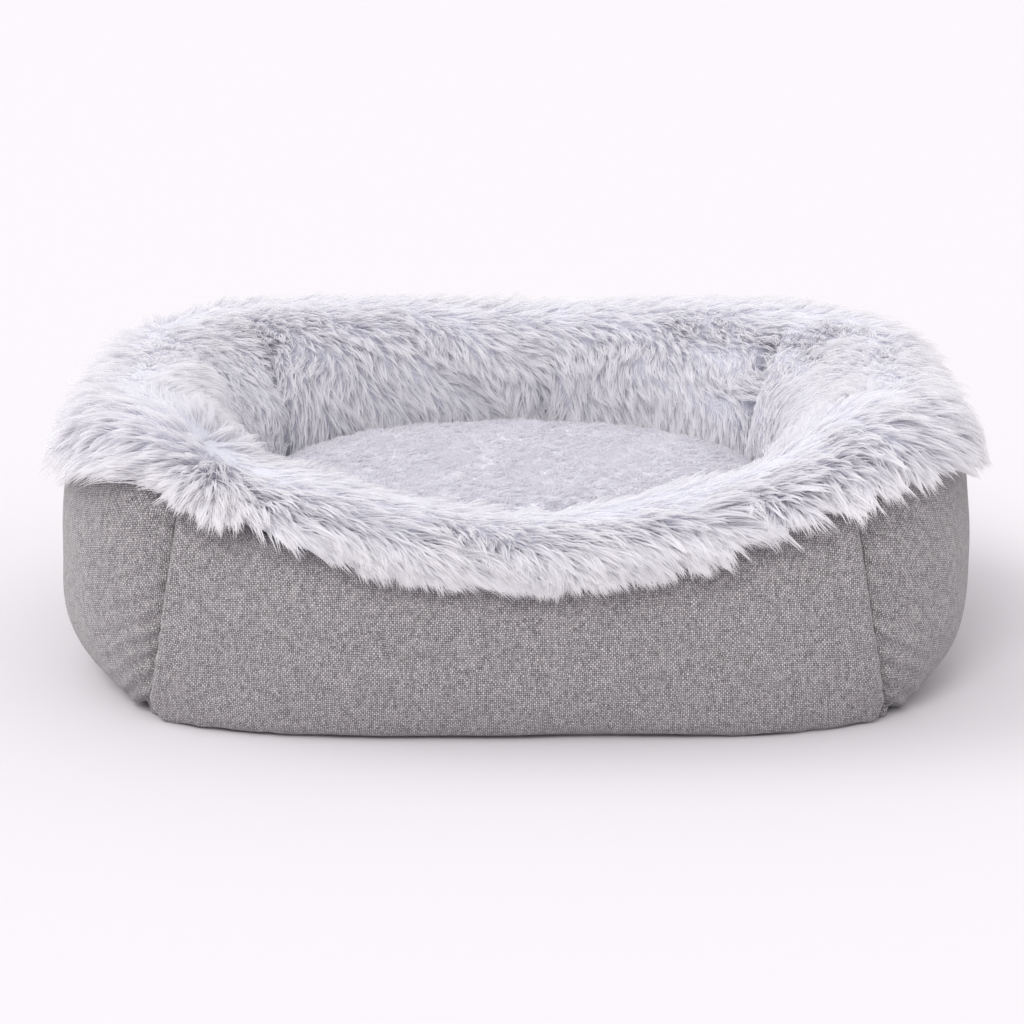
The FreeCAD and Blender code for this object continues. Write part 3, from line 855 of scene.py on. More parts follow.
@dataclass(frozen=True)
class PlainCloth:
    """A plain cloth, backing or rubber with a fine grain."""

    name: str
    colour: tuple
    other: tuple
    grain: float
    depth: float
    roughness: float

    def build(self) -> bpy.types.Material:
        """The material, patterned on object coordinates."""
        material, nodes = new_material(self.name)
        place = nodes.add("ShaderNodeTexCoord")
        fine = nodes.noise(place.outputs["Object"], self.grain, 4.0)
        broad = nodes.noise(place.outputs["Object"], self.grain / 14.0, 2.0)
        mixed = nodes.math("MULTIPLY", nodes.math("ADD", fine.outputs["Fac"],
                                                  broad.outputs["Fac"]), 0.5)
        colour = nodes.mix(nodes.spread(mixed, 0.35, 0.65, 0.0, 1.0), self.colour, self.other)
        bump = nodes.add("ShaderNodeBump", {"Height": fine.outputs["Fac"], "Strength": 0.5,
                                            "Distance": self.depth})
        rough = nodes.spread(fine.outputs["Fac"], 0.3, 0.7, self.roughness - 0.05,
                             self.roughness + 0.04)
        shader = nodes.add("ShaderNodeBsdfPrincipled", {
            "Base Color": colour, "Roughness": rough, "Normal": bump.outputs[0],
            "Sheen Weight": 0.2, "Specular IOR Level": 0.25})
        nodes.add("ShaderNodeOutputMaterial", {0: shader.outputs[0]})
        return material


@dataclass
class Finishes:
    """Every finish on the bed."""

    woven: bpy.types.Material = field(init=False)
    long_pile: bpy.types.Material = field(init=False)
    short_pile: bpy.types.Material = field(init=False)
    under_pile: bpy.types.Material = field(init=False)
    cushion_ground: bpy.types.Material = field(init=False)
    base_cloth: bpy.types.Material = field(init=False)
    rubber: bpy.types.Material = field(init=False)

    def __post_init__(self) -> None:
        """Build the materials once."""
        group = hair_group()
        self.woven = WovenCloth().build()
        # Both piles' roots are darker than their tips as painted shade deep in the pile.
        self.long_pile = Pile("long_white_pile", root=shade(242, 241, 245),
                              tip=shade(253, 252, 253), shaded=shade(241, 241, 245),
                              variation=0.35).build(group)
        self.short_pile = Pile("short_plush_pile", root=shade(228, 227, 233),
                               tip=shade(240, 239, 242), shaded=shade(230, 229, 235),
                               variation=0.35, roughness=0.85).build(group)
        # Painted shade: the ground under the locks is darker and bluer than the locks, as the deep
        # pile lies in shade.
        self.under_pile = PlainCloth("pile_ground", shade(200, 201, 213), shade(218, 219, 228),
                                     420.0, 0.0015, 0.95).build()
        self.cushion_ground = PlainCloth("plush_ground", shade(224, 223, 230),
                                         shade(232, 231, 237), 520.0, 0.0010, 0.95).build()
        self.base_cloth = PlainCloth("plain_base_cloth", shade(120, 118, 122),
                                     shade(134, 131, 136), 900.0, 0.0003, 0.9).build()
        self.rubber = PlainCloth("grip_rubber", shade(70, 70, 72), shade(80, 80, 82),
                                 700.0, 0.0001, 0.7).build()


# ---------------------------------------------------------------- woven cover

class Side(Enum):
    """The four sides of the wall."""

    FRONT = "front"
    BACK = "back"
    LEFT = "left"
    RIGHT = "right"

    @property
    def is_middle(self) -> bool:
        """Whether its cloth lies between the two leaning seams."""
        return self in (Side.FRONT, Side.BACK)

    @property
    def word(self) -> str:
        """Its name in a node or a piece."""
        return self.value


@dataclass(frozen=True)
class ClothRelief:
    """Heights, reaches and pitches of the swells, rolls and puckers in the stuffed cloth."""

    swell: float = 0.0016
    swell_size: float = 0.075
    ripple: float = 0.0007
    ripple_size: float = 0.03
    wander: float = 1.4
    wander_size: float = 0.022
    foot_reach: float = 0.030
    rim_band: tuple = (0.085, 0.135)
    seam_depth: float = 0.0048
    roll: float = 0.0040
    roll_reach: float = 0.020
    groove_reach: float = 0.0026
    side_groove_reach: float = 0.0085
    middle_pucker: float = 0.0009
    middle_pucker_reach: float = 0.016
    middle_pucker_pitch: float = 0.0021
    side_pucker: float = 0.0058
    side_pucker_reach: float = 0.022
    side_pucker_pitch: float = 0.0023
    side_pucker_slant: float = 0.5
    gather: float = 0.0011
    gather_reach: float = 0.06
    gather_pitch: float = 0.0045
    hem_groove: float = 0.0012
    hem_groove_at: float = 0.013
    hem_groove_width: float = 0.004
    flat_hem: tuple = (0.006, 0.020)


@dataclass
class WovenCover:
    """The four woven panels, sewn along leaning corner seams and turned in under the bed."""

    form: WallForm
    material: bpy.types.Material
    columns: int = 220
    rows: int = 72
    cloth: float = 0.0012
    corner_round: float = 0.011
    corner_round_height: float = 0.014
    floor_gap: float = 0.0003
    shape: ClothRelief = ClothRelief()

    def build(self) -> list[bpy.types.Object]:
        """Make and dress every panel."""
        return [self.panel(side) for side in Side]

    def corner_angles(self, share: np.ndarray, front: bool) -> np.ndarray:
        """How far each row's corner seam lies from the bed's right side, in degrees.

        Args:
            share: Each row's place from the hem (0) to the collar's seam (1).
            front: Whether to follow the front seams, which run down from the dipping rim.

        Returns:
            The size of the right seam's angle for each row; the left ones mirror it.
        """
        s = self.form.sizes
        lean = (s.panel_foot - s.panel_head) / s.rim_top
        sizes = np.linspace(15.0, 75.0, 241)
        angles = -sizes if front else sizes
        found = []
        for value in share:
            place = self.form.point(angles, value * self.form.seam(angles))
            height = place[:, 2]
            rounded = self.corner_round * np.clip(
                1.0 - height / self.corner_round_height, 0.0, 1.0) ** 2
            beyond = place[:, 0] - (s.panel_foot - lean * height - rounded)
            found.append(np.interp(0.0, -beyond, sizes))
        return np.array(found)

    def span(self, side: Side, share: np.ndarray) -> tuple[np.ndarray, np.ndarray]:
        """The angles where each row of a panel starts and ends."""
        back, front = self.corner_angles(share, False), self.corner_angles(share, True)
        if side is Side.FRONT:
            return 180.0 + front, 360.0 - front
        if side is Side.BACK:
            return back, 180.0 - back
        if side is Side.LEFT:
            return 180.0 - back, 180.0 + front
        return -front, back

    def panel(self, side: Side) -> bpy.types.Object:
        """Make one side's panel.

        Args:
            side: Which side.

        Returns:
            The panel, dressed and riding on the bed.
        """
        share = np.linspace(0.0, 1.0, self.rows + 1)
        start, end = self.span(side, share)
        line = np.linspace(0.0, 1.0, self.columns + 1)
        line = 0.55 * line + 0.45 * (0.5 - 0.5 * np.cos(math.pi * line))
        angle = start[:, None] + (end - start)[:, None] * line[None, :]
        level = share[:, None] * self.form.seam(angle)
        flat = self.form.point(angle, level)
        steps = np.linalg.norm(np.diff(flat, axis=1), axis=-1)
        run = np.concatenate([np.zeros((self.rows + 1, 1)), np.cumsum(steps, axis=1)], axis=1)
        climbs = np.linalg.norm(np.diff(flat, axis=0), axis=-1)
        climb = np.concatenate([np.zeros((1, self.columns + 1)), np.cumsum(climbs, axis=0)])
        offset = self.relief(side, flat, run, climb)
        places = self.form.point(angle, level, offset)
        places[..., 2] = np.maximum(places[..., 2], self.floor_gap)
        chart = np.stack([run - run[:, -1:] / 2.0, climb], axis=-1)
        mesh = grid_mesh(f"{side.word}_cloth", self.columns, self.rows)
        lay_grid(mesh, places, chart)
        piece = new_piece(f"{side.word}_woven_panel", mesh, self.material)
        thicken(piece, "cloth_thickness", self.cloth)
        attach(piece, "bed")
        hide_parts(f"{side.word}_outer_panel", f"{side.word}_wall_filling")
        return piece

    def relief(self, side: Side, flat: np.ndarray, run: np.ndarray,
               climb: np.ndarray) -> np.ndarray:
        """How far the stuffed cloth stands off its plain form: edges, puckers and soft swells.

        Args:
            side: Which side.
            flat: Plain positions, rows by columns by 3.
            run: Distance along each row from the panel's first seam.
            climb: Distance up each column from the hem.

        Returns:
            Offsets in metres.
        """
        r = self.shape
        from_seam = np.minimum(run, run[:, -1:] - run)
        height = flat[..., 2]
        swell = r.swell * waves(flat, r.swell_size, 3) + r.ripple * waves(flat, r.ripple_size, 4)
        low = np.exp(-height / r.foot_reach)
        high = smooth(*r.rim_band, height)
        wander = r.wander * waves(flat, r.wander_size, 5)
        if side.is_middle:
            groove = np.exp(-(from_seam / r.groove_reach) ** 1.3)
            edge = r.roll * np.exp(-from_seam / r.roll_reach) - (r.seam_depth + r.roll) * groove
            pucker = (r.middle_pucker * np.exp(-from_seam / r.middle_pucker_reach)
                      * np.sin(height / r.middle_pucker_pitch + wander))
            pucker *= 0.25 + low
        else:
            edge = -r.seam_depth * np.exp(-from_seam / r.side_groove_reach)
            slanted = height + r.side_pucker_slant * from_seam
            pucker = (r.side_pucker * np.exp(-from_seam / r.side_pucker_reach)
                      * np.sin(slanted / r.side_pucker_pitch + wander))
            pucker *= 0.22 + low + 0.25 * high
            pucker *= smooth(0.0, 0.004, from_seam)
        gather = (r.gather * low * np.exp(-from_seam / r.gather_reach)
                  * np.sin(run / r.gather_pitch + wander))
        hem = -r.hem_groove * np.exp(-((climb - r.hem_groove_at) / r.hem_groove_width) ** 2)
        under = smooth(*r.flat_hem, climb)
        return (edge + pucker + gather + swell) * under + hem


# ---------------------------------------------------------------- long-pile lining

class Zone(Enum):
    """A band of the lining that grows as one piece."""

    HANGING = 0
    CREST = 1
    INNER = 2

    @property
    def word(self) -> str:
        """Its name in a piece."""
        return self.name.lower()

    @property
    def limits(self) -> tuple[float | None, float]:
        """Its lowest and highest level; none stands for the collar's seam."""
        return ((None, 2.72), (2.72, 3.25), (3.25, 4.85))[self.value]


@dataclass(frozen=True)
class LiningPart:
    """One sewn piece of the lining, between two seams given by their angles."""

    node: str
    word: str
    start: float
    end: float
    hanging: int
    crest: int
    inner: int


@dataclass(frozen=True)
class SewnSeam:
    """A seam down the lining: its angle, how far it is drawn in and how it shortens the pile."""

    angle: float
    drawn: float
    outside_cut: float
    inside_cut: float = 0.1


@dataclass
class FurLining:
    """The lining: a pile ground over the rim and down the well, grown over with locks."""

    form: WallForm
    ground_material: bpy.types.Material
    pile_material: bpy.types.Material
    backing: float = 0.004
    lock_half_width: float = 0.0036
    collar_length: float = 0.029
    inner_length: float = 0.024
    side_inner_length: float = 0.016
    cut_reach: float = 4.2
    pull: float = 0.7
    pull_reach: float = 4.5
    dent_depth: float = 0.010
    dent_reach: float = 0.0055
    rim_level: float = 2.95
    rim_fluff: float = 0.002
    corner_fluff: float = 0.007
    root_height: float = 0.003
    lie: float = 62.0
    whorl_lift: float = 34.0
    droop: float = 0.16
    reach_across: float = 0.003
    reach_along: float = 0.010
    reach_up: float = 0.013
    whorls: tuple = (((-0.181, -0.139, 0.165), 0.020), ((-0.200, 0.165, 0.175), 0.020))

    def parts(self) -> list[LiningPart]:
        """The five pieces of the lining."""
        corner = self.form.sizes.corner_angle
        middle = self.form.sizes.back_seam_angle
        return [
            LiningPart("front_fur_lining", "front", 180.0 + corner, 360.0 - corner,
                       2450, 1700, 1000),
            LiningPart("left_fur_lining", "left", 180.0 - corner, 180.0 + corner,
                       1700, 1700, 1900),
            LiningPart("right_fur_lining", "right", -corner, corner, 1700, 1700, 1900),
            LiningPart("back_left_fur_lining", "back_left", middle, 180.0 - corner,
                       1000, 1200, 1300),
            LiningPart("back_right_fur_lining", "back_right", corner, middle, 800, 900, 1000),
        ]

    def seams(self) -> list[SewnSeam]:
        """The five seams between the parts."""
        corner = self.form.sizes.corner_angle
        return [SewnSeam(corner, 1.0, 0.2), SewnSeam(180.0 - corner, 1.0, 0.2),
                SewnSeam(180.0 + corner, 0.6, 0.9), SewnSeam(360.0 - corner, 0.6, 0.45),
                SewnSeam(self.form.sizes.back_seam_angle, 0.8, 0.1)]

    def build(self) -> list[bpy.types.Object]:
        """Make the ground and the locks of every part."""
        pieces = []
        for number, part in enumerate(self.parts()):
            pieces.append(self.ground(part))
            for zone in Zone:
                pieces.append(self.locks(part, zone, 40 + 10 * zone.value + number))
        return pieces

    def dress(self, piece: bpy.types.Object, part: LiningPart) -> None:
        """Let a piece ride on the bed and stand for its lining node."""
        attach(piece, "bed")
        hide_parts(part.node)

    def fluff(self, angle: np.ndarray, level: np.ndarray) -> np.ndarray:
        """How much fuller the pile stands over the rim, most at the four corners, in metres."""
        rim = np.exp(-((level - self.rim_level) / 0.28) ** 2)
        corner = np.abs(np.sin(2.0 * np.radians(angle)))
        return rim * (self.rim_fluff + self.corner_fluff * corner)

    def dent(self, angle: np.ndarray, level: np.ndarray) -> np.ndarray:
        """How deep the lining is drawn in along its seams, in metres."""
        total = np.zeros(np.broadcast(angle, level).shape)
        inside = smooth(2.9, 3.5, level)
        radius = 0.150 + 0.09 * (1.0 - inside)
        for seam in self.seams():
            distance = np.radians(np.abs(turned_from(angle, seam.angle))) * radius
            total += seam.drawn * np.exp(-(distance / self.dent_reach) ** 2)
        above_floor = 1.0 - 0.7 * smooth(4.2, 4.8, level)
        return self.dent_depth * total * (0.1 + 0.9 * inside) * above_floor

    def ground(self, part: LiningPart) -> bpy.types.Object:
        """The short dense pile under the locks of one part."""
        columns = max(40, round((part.end - part.start) * 1.6))
        rows = 90
        angle = np.linspace(part.start, part.end, columns + 1)[None, :]
        share = np.linspace(0.0, 1.0, rows + 1)[:, None]
        low = self.form.seam(angle) - 0.015
        level = low + (Level.FLOOR - low) * share
        angle = np.broadcast_to(angle, level.shape)
        plain = self.form.point(angle, level)
        rim = np.exp(-((level - self.rim_level) / 0.35) ** 2)
        depth = ((0.0045 + 0.0045 * rim) * smooth(0.0, 0.12, share)
                 + 0.0010 * waves(plain, 0.014, 8) + self.fluff(angle, level))
        places = self.form.point(angle, level, depth - self.dent(angle, level))
        chart = np.stack([np.radians(angle) * 0.2, level * 0.03], axis=-1)
        mesh = grid_mesh(f"{part.word}_ground", columns, rows)
        lay_grid(mesh, places, chart)
        piece = new_piece(f"{part.word}_pile_ground", mesh, self.ground_material)
        thicken(piece, "backing_thickness", self.backing)
        self.dress(piece, part)
        return piece

    def locks(self, part: LiningPart, zone: Zone, seed: int) -> bpy.types.Object:
        """The long locks of one zone of a part.

        Args:
            part: The lining part.
            zone: Where on the wall.
            seed: Chooses their differences.

        Returns:
            The piece.
        """
        planting = self.comb(part, zone, seed)
        mesh = planted_mesh(f"{part.word}_{zone.word}_locks", LONG_LOCK, planting)
        piece = new_piece(f"{part.word}_{zone.word}_pile", mesh, self.pile_material)
        self.dress(piece, part)
        return piece

    def comb(self, part: LiningPart, zone: Zone, seed: int) -> Planting:
        """Place the roots of one zone and choose each lock's direction."""
        rng = np.random.default_rng(seed)
        count = getattr(part, zone.word)
        spread = low_spread(count, 0.137 * seed % 1.0)
        angle, level = self.rooted(part, zone, spread)
        depth = self.root_height + self.fluff(angle, level) - self.dent(angle, level)
        place = self.form.point(angle, level, depth)
        normal = unit(self.form.sample(self.form.normals, angle, level))
        over = unit(self.form.sample(self.form.up_and_over, angle, level))
        flow = self.flow(angle, level, place, normal, over, rng)
        inward = smooth(3.0, 3.35, level)
        inner = self.side_inner_length if part.word in ("left", "right") else self.inner_length
        length = self.collar_length + (inner - self.collar_length) * inward
        length = length * rng.uniform(0.7, 1.2, count)
        above_seam = level - self.form.seam(angle)
        hanging = 1.0 - smooth(0.0, 0.35, above_seam)
        wisp = hanging * (rng.uniform(size=count) > 0.72)
        at_end = smooth(0.17, 0.25, np.abs(place[:, 0]))
        length = length * (1.0 - (0.22 + 0.22 * at_end) * hanging + 0.34 * wisp
                           + 0.24 * hanging * waves(place, 0.0075, 51))
        deep = smooth(4.1, 4.6, level)
        length = length * (1.0 - 0.45 * deep) * self.parting(angle, level)
        half_width = self.lock_half_width * rng.uniform(0.7, 1.35, count)
        standing = np.exp(-((level - 3.1) / 0.35) ** 2)
        front = smooth(-0.10, -0.15, place[:, 1])
        flat = 1.0 - 0.4 * np.abs(np.sin(2.0 * np.radians(angle)))
        lift = (self.lie + 14.0 * deep - (24.0 - 14.0 * front) * standing * flat
                + rng.normal(0.0, 7.0, count))
        lift = np.radians(lift - self.whorl_lift * self.near_whorl(place))
        length = self.kept_in(place, normal, flow, lift, length)
        return Planting(place, normal, flow, length, half_width, lift, self.droop, seed)

    def near_whorl(self, place: np.ndarray) -> np.ndarray:
        """How close each root is to the middle of a whorl, 1 at the middle."""
        near = np.zeros(len(place))
        for centre, spread in self.whorls:
            away = place - np.array(centre)
            near = np.maximum(near, np.exp(-np.sum(away * away, axis=-1) / spread ** 2))
        return near

    def kept_in(self, place: np.ndarray, normal: np.ndarray, flow: np.ndarray,
                lift: np.ndarray, length: np.ndarray) -> np.ndarray:
        """Lengths short enough that no lock stands out beyond the bed's fullest reach."""
        heading = (normal * (np.cos(lift) + 0.1)[:, None]
                   + flow * (np.sin(lift) + 1.0)[:, None]) / 2.0
        s = self.form.sizes
        for axis, limit in ((0, s.half_width + self.reach_across),
                            (1, s.half_depth + self.reach_along),
                            (2, s.rim_top + self.reach_up)):
            outward = np.maximum(np.sign(place[:, axis]) * heading[:, axis], 0.02)
            room = np.maximum(limit - np.abs(place[:, axis]), 0.002)
            length = np.minimum(length, room / outward)
        return length

    def parting(self, angle: np.ndarray, level: np.ndarray) -> np.ndarray:
        """How much shorter the pile shows beside a seam, from the sewing holding it down."""
        hanging = 1.0 - smooth(2.55, 2.9, level)
        inside = smooth(3.1, 3.6, level)
        short = np.zeros(len(angle))
        for seam in self.seams():
            near = np.exp(-(np.abs(turned_from(angle, seam.angle)) / self.cut_reach) ** 2)
            cut = seam.outside_cut * hanging + seam.inside_cut * inside
            short = np.maximum(short, near * cut)
        return 1.0 - short

    def rooted(self, part: LiningPart, zone: Zone, spread: np.ndarray
               ) -> tuple[np.ndarray, np.ndarray]:
        """Spread roots evenly by area over a zone.

        Args:
            part: The lining part.
            zone: Where on the wall.
            spread: Pairs of numbers between 0 and 1.

        Returns:
            Angles in degrees and levels.
        """
        steps = 180
        angles = np.linspace(part.start, part.end, steps + 1)
        low, high = zone.limits
        low = np.full(steps + 1, low) if low else self.form.seam(angles) + 0.01
        share = np.linspace(0.0, 1.0, 61)
        level = low[:, None] + (high - low[:, None]) * share[None, :]
        place = self.form.point(np.broadcast_to(angles[:, None], level.shape), level)
        across = np.linalg.norm(np.gradient(place, axis=0), axis=-1)
        down = np.linalg.norm(np.gradient(place, axis=1), axis=-1)
        area = across * down
        strips = np.concatenate([[0.0], np.cumsum(area.sum(axis=1))])
        strips = strips / strips[-1]
        edges = np.linspace(part.start, part.end, steps + 2)
        angle = np.interp(spread[:, 0], strips, edges)
        column = np.clip(np.rint((angle - part.start) / (part.end - part.start) * steps),
                         0, steps).astype(int)
        columns_total = np.cumsum(area, axis=1)
        columns_total = columns_total / columns_total[:, -1:]
        found = np.empty(len(spread))
        for number in np.unique(column):
            own = column == number
            found[own] = np.interp(spread[own, 1], columns_total[number], level[number])
        return angle, found

    def seam_pull(self, angle: np.ndarray, level: np.ndarray) -> np.ndarray:
        """How strongly the pile beside an inner seam leans over it, signed along the wall."""
        s = self.form.sizes
        inside = smooth(3.0, 3.5, level)
        pull = np.zeros(len(angle))
        for seam in (s.corner_angle, 180.0 - s.corner_angle, s.back_seam_angle):
            away = turned_from(angle, seam)
            pull -= np.sign(away) * np.exp(-(away / self.pull_reach) ** 2) * self.pull
        return pull * inside

    def sweep(self, place: np.ndarray) -> np.ndarray:
        """The sideways combing at each root: across the front and back, forward at the sides."""
        s = self.form.sizes
        deep = np.abs(place[:, 1]) / s.half_depth
        middle = smooth(0.25, 0.8, deep)
        right = smooth(0.0, 0.2, place[:, 0])
        left = smooth(0.13, 0.24, -place[:, 0])
        front = np.where(place[:, 1] < 0.0, 1.0, 0.0)
        across = middle * (0.75 + front * (0.75 * right - 1.5 * left))
        along = -0.5 * (1.0 - smooth(0.2, 0.75, deep)) + 0.35 * front * left
        return np.stack([across, along, np.zeros(len(place))], axis=-1)

    def flow(self, angle: np.ndarray, level: np.ndarray, place: np.ndarray,
             normal: np.ndarray, over: np.ndarray, rng: np.random.Generator) -> np.ndarray:
        """The way the pile is combed at each root, along the surface.

        Args:
            angle: Angles in degrees.
            level: Contour coordinates.
            place: The roots.
            normal: Directions out of the cloth.
            over: Directions up and over the wall.
            rng: Source of small differences.

        Returns:
            Unit directions.
        """
        inward = 2.0 * smooth(2.78, 3.22, level) - 1.0
        wish = over * inward[:, None] + self.sweep(place)
        along = unit(self.form.sample(self.form.along, angle, level))
        wish = wish + along * self.seam_pull(angle, level)[:, None]
        wish = wish - normal * np.sum(wish * normal, axis=-1, keepdims=True)
        side = np.cross(normal, unit(wish))
        low = 1.0 - smooth(2.5, 2.85, level)
        turn = ((0.5 + 1.1 * self.near_whorl(place)) * waves(place, 0.024, 21)
                + 0.45 * low * waves(place, 0.009, 52)
                + rng.normal(0.0, 0.13, len(angle)))
        return unit(unit(wish) * np.cos(turn)[:, None] + side * np.sin(turn)[:, None])


# ---------------------------------------------------------------- loose cushion

@dataclass
class StuffedForm:
    """A closed crowned cover, blown out by its filling against a sewn edge.

    A cloth simulation swells the plain form with its sewn edge held. Only movement outwards
    is kept, up to the limit in most.
    """

    half_width: float
    half_depth: float
    edge_height: float
    rise: float
    drop: float
    plan_exponent: float = 2.2
    crown_exponent: float = 11.0
    belly_exponent: float = 3.2
    crown: float = 0.05
    step: float = 0.005
    pressure: float = 4.0
    frames: int = 20
    most: float = 0.0025

    def plain(self) -> bpy.types.Mesh:
        """The plain form: a rounded slab with an edge all round, before it is filled."""
        bm = bmesh.new()
        bmesh.ops.create_uvsphere(bm, u_segments=128, v_segments=64, radius=1.0)
        for vert in bm.verts:
            vert.co = Vector(self.place(np.array(vert.co)[None, :])[0])
        bmesh.ops.recalc_face_normals(bm, faces=bm.faces)
        return mesh_from(bm, "cushion_plain")

    def place(self, directions: np.ndarray) -> np.ndarray:
        """Where unit directions fall on the plain form."""
        angle = np.arctan2(directions[:, 1], directions[:, 0])
        edge = superellipse(angle, self.half_width, self.half_depth, self.plan_exponent)
        upright = np.arcsin(np.clip(directions[:, 2], -1.0, 1.0))
        squareness = np.where(upright > 0.0, self.crown_exponent, self.belly_exponent)
        share = superellipse(upright, 1.0, 1.0, squareness)
        out, up = share * np.cos(upright), share * np.sin(upright)
        tall = np.where(up > 0.0, self.rise * (1.0 - self.crown * out * out), self.drop)
        return np.stack([edge * out * np.cos(angle), edge * out * np.sin(angle),
                         self.edge_height + up * tall], axis=-1)

    def filled(self) -> bpy.types.Mesh:
        """The form after filling.
        """
        holder = bpy.data.objects.new("cushion_sim", self.plain())
        bpy.context.scene.collection.objects.link(holder)
        even = holder.modifiers.new("even", "REMESH")
        even.mode = "VOXEL"
        even.voxel_size = self.step
        graph = bpy.context.evaluated_depsgraph_get()
        holder.data = bpy.data.meshes.new_from_object(holder.evaluated_get(graph))
        holder.modifiers.clear()
        start = coordinates(holder.data)
        self.blow(holder, start)
        mesh = holder.data
        bpy.data.objects.remove(holder)
        return mesh

    def blow(self, holder: bpy.types.Object, start: np.ndarray) -> None:
        """Simulate the cloth under the filling's push, and keep where it comes to rest."""
        held = holder.vertex_groups.new(name="sewn_edge")
        near = np.abs(start[:, 2] - self.edge_height) < 0.6 * self.step
        held.add([int(number) for number in np.flatnonzero(near)], 1.0, "REPLACE")
        cloth = holder.modifiers.new("cloth", "CLOTH")
        settings = cloth.settings
        settings.vertex_group_mass = held.name
        settings.quality = 8
        settings.mass = 0.3
        settings.tension_stiffness = 12.0
        settings.compression_stiffness = 6.0
        settings.bending_stiffness = 0.35
        settings.use_pressure = True
        settings.uniform_pressure_force = self.pressure
        settings.effector_weights.gravity = 0.0
        cloth.collision_settings.use_collision = False
        cloth.point_cache.frame_end = self.frames
        scene = bpy.context.scene
        for number in range(1, self.frames + 1):
            scene.frame_set(number)
        graph = bpy.context.evaluated_depsgraph_get()
        moved = coordinates(holder.evaluated_get(graph).data)
        holder.modifiers.clear()
        scene.frame_set(1)
        outward = np.array([tuple(vert.normal) for vert in holder.data.vertices])
        swelling = np.sum((moved - start) * outward, axis=-1)
        LOG.info("cushion: cloth swelled by up to %.1f mm", 1000.0 * swelling.max())
        step = outward * np.clip(swelling, 0.0, self.most)[:, None]
        holder.data.vertices.foreach_set("co", (start + step).reshape(-1).astype(np.float32))
        holder.data.update()


def coordinates(mesh: bpy.types.Mesh) -> np.ndarray:
    """A mesh's points as an array."""
    places = np.empty(3 * len(mesh.vertices), dtype=np.float32)
    mesh.vertices.foreach_get("co", places)
    return places.reshape(-1, 3).astype(float)


@dataclass
class Cushion:
    """The loose cushion: plush over the top, plain cloth below, fibre inside."""

    form: StuffedForm
    ground_material: bpy.types.Material
    pile_material: bpy.types.Material
    under_material: bpy.types.Material
    locks: int = 12600
    root_sink: float = 0.001
    lock_lengths: tuple = (0.0065, 0.0095)
    lock_half_widths: tuple = (0.0022, 0.0034)
    droop: float = 0.05

    def build(self) -> list[bpy.types.Object]:
        """Make the stuffed form, split at its sewn edge, and the plush pile."""
        whole = self.form.filled()
        top = self.half(whole, "cushion_plush_ground", True, self.ground_material)
        under = self.half(whole, "cushion_plain_underside", False, self.under_material)
        pile = self.pile(whole)
        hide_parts("cushion_fur_top", "cushion_filling")
        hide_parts("cushion_underside", "cushion_filling")
        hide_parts("cushion_fur_top")
        for piece, slot in ((top, "short_pile"), (under, "base_cloth"), (pile, "short_pile")):
            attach(piece, "cushion")
        return [top, under, pile]

    def half(self, whole: bpy.types.Mesh, name: str, upper: bool,
             material: bpy.types.Material) -> bpy.types.Object:
        """The part of the form above or below the sewn edge."""
        bm = bmesh.new()
        bm.from_mesh(whole)
        bmesh.ops.bisect_plane(bm, geom=[*bm.verts, *bm.edges, *bm.faces],
                               plane_co=(0.0, 0.0, self.form.edge_height),
                               plane_no=(0.0, 0.0, 1.0), clear_inner=upper,
                               clear_outer=not upper)
        piece = new_piece(name, mesh_from(bm, name), material)
        finer = piece.modifiers.new("finer", "SUBSURF")
        finer.levels = finer.render_levels = 1
        return piece

    def pile(self, whole: bpy.types.Mesh) -> bpy.types.Object:
        """The short plush pile over the top and down to the sewn edge."""
        roots, normals = self.spread_roots(whole)
        rng = np.random.default_rng(5)
        wish = np.array([0.35, -0.25, 0.0]) + 0.9 * np.stack(
            [waves(roots, 0.030, 31), waves(roots, 0.030, 32), 0.4 * waves(roots, 0.03, 33)],
            axis=-1)
        wish += 0.5 * rng.normal(size=wish.shape)
        flow = unit(wish - normals * np.sum(wish * normals, axis=-1, keepdims=True))
        count = len(roots)
        planting = Planting(roots - normals * self.root_sink, normals, flow,
                            rng.uniform(*self.lock_lengths, count),
                            rng.uniform(*self.lock_half_widths, count),
                            np.radians(rng.normal(50.0, 10.0, count)), self.droop, 77)
        mesh = planted_mesh("cushion_plush", PLUSH_LOCK, planting)
        return new_piece("cushion_plush_pile", mesh, self.pile_material)

    def spread_roots(self, whole: bpy.types.Mesh) -> tuple[np.ndarray, np.ndarray]:
        """Spread roots evenly over the form above its sewn edge.

        Args:
            whole: The swollen form.

        Returns:
            The roots and the directions out of the cloth.
        """
        places = coordinates(whole)
        whole.calc_loop_triangles()
        corners = np.array([tuple(face.vertices) for face in whole.loop_triangles])
        upper = places[corners][:, :, 2].mean(axis=1) > self.form.edge_height - 0.002
        corners = corners[upper]
        triangles = places[corners]
        out = np.cross(triangles[:, 1] - triangles[:, 0], triangles[:, 2] - triangles[:, 0])
        area = np.linalg.norm(out, axis=-1)
        reached = np.cumsum(area) / area.sum()
        face = np.searchsorted(reached, (np.arange(self.locks) + 0.5) / self.locks)
        first, second = low_spread(self.locks, 0.31).T
        beyond = first + second > 1.0
        first, second = np.where(beyond, 1.0 - first, first), np.where(beyond, 1.0 - second, second)
        chosen = triangles[face]
        roots = (chosen[:, 0] + (chosen[:, 1] - chosen[:, 0]) * first[:, None]
                 + (chosen[:, 2] - chosen[:, 0]) * second[:, None])
        round_normals = np.array([tuple(vert.normal) for vert in whole.vertices])
        return roots, unit(round_normals[corners[face]].mean(axis=1))


# ---------------------------------------------------------------- plain nodes shown as they are

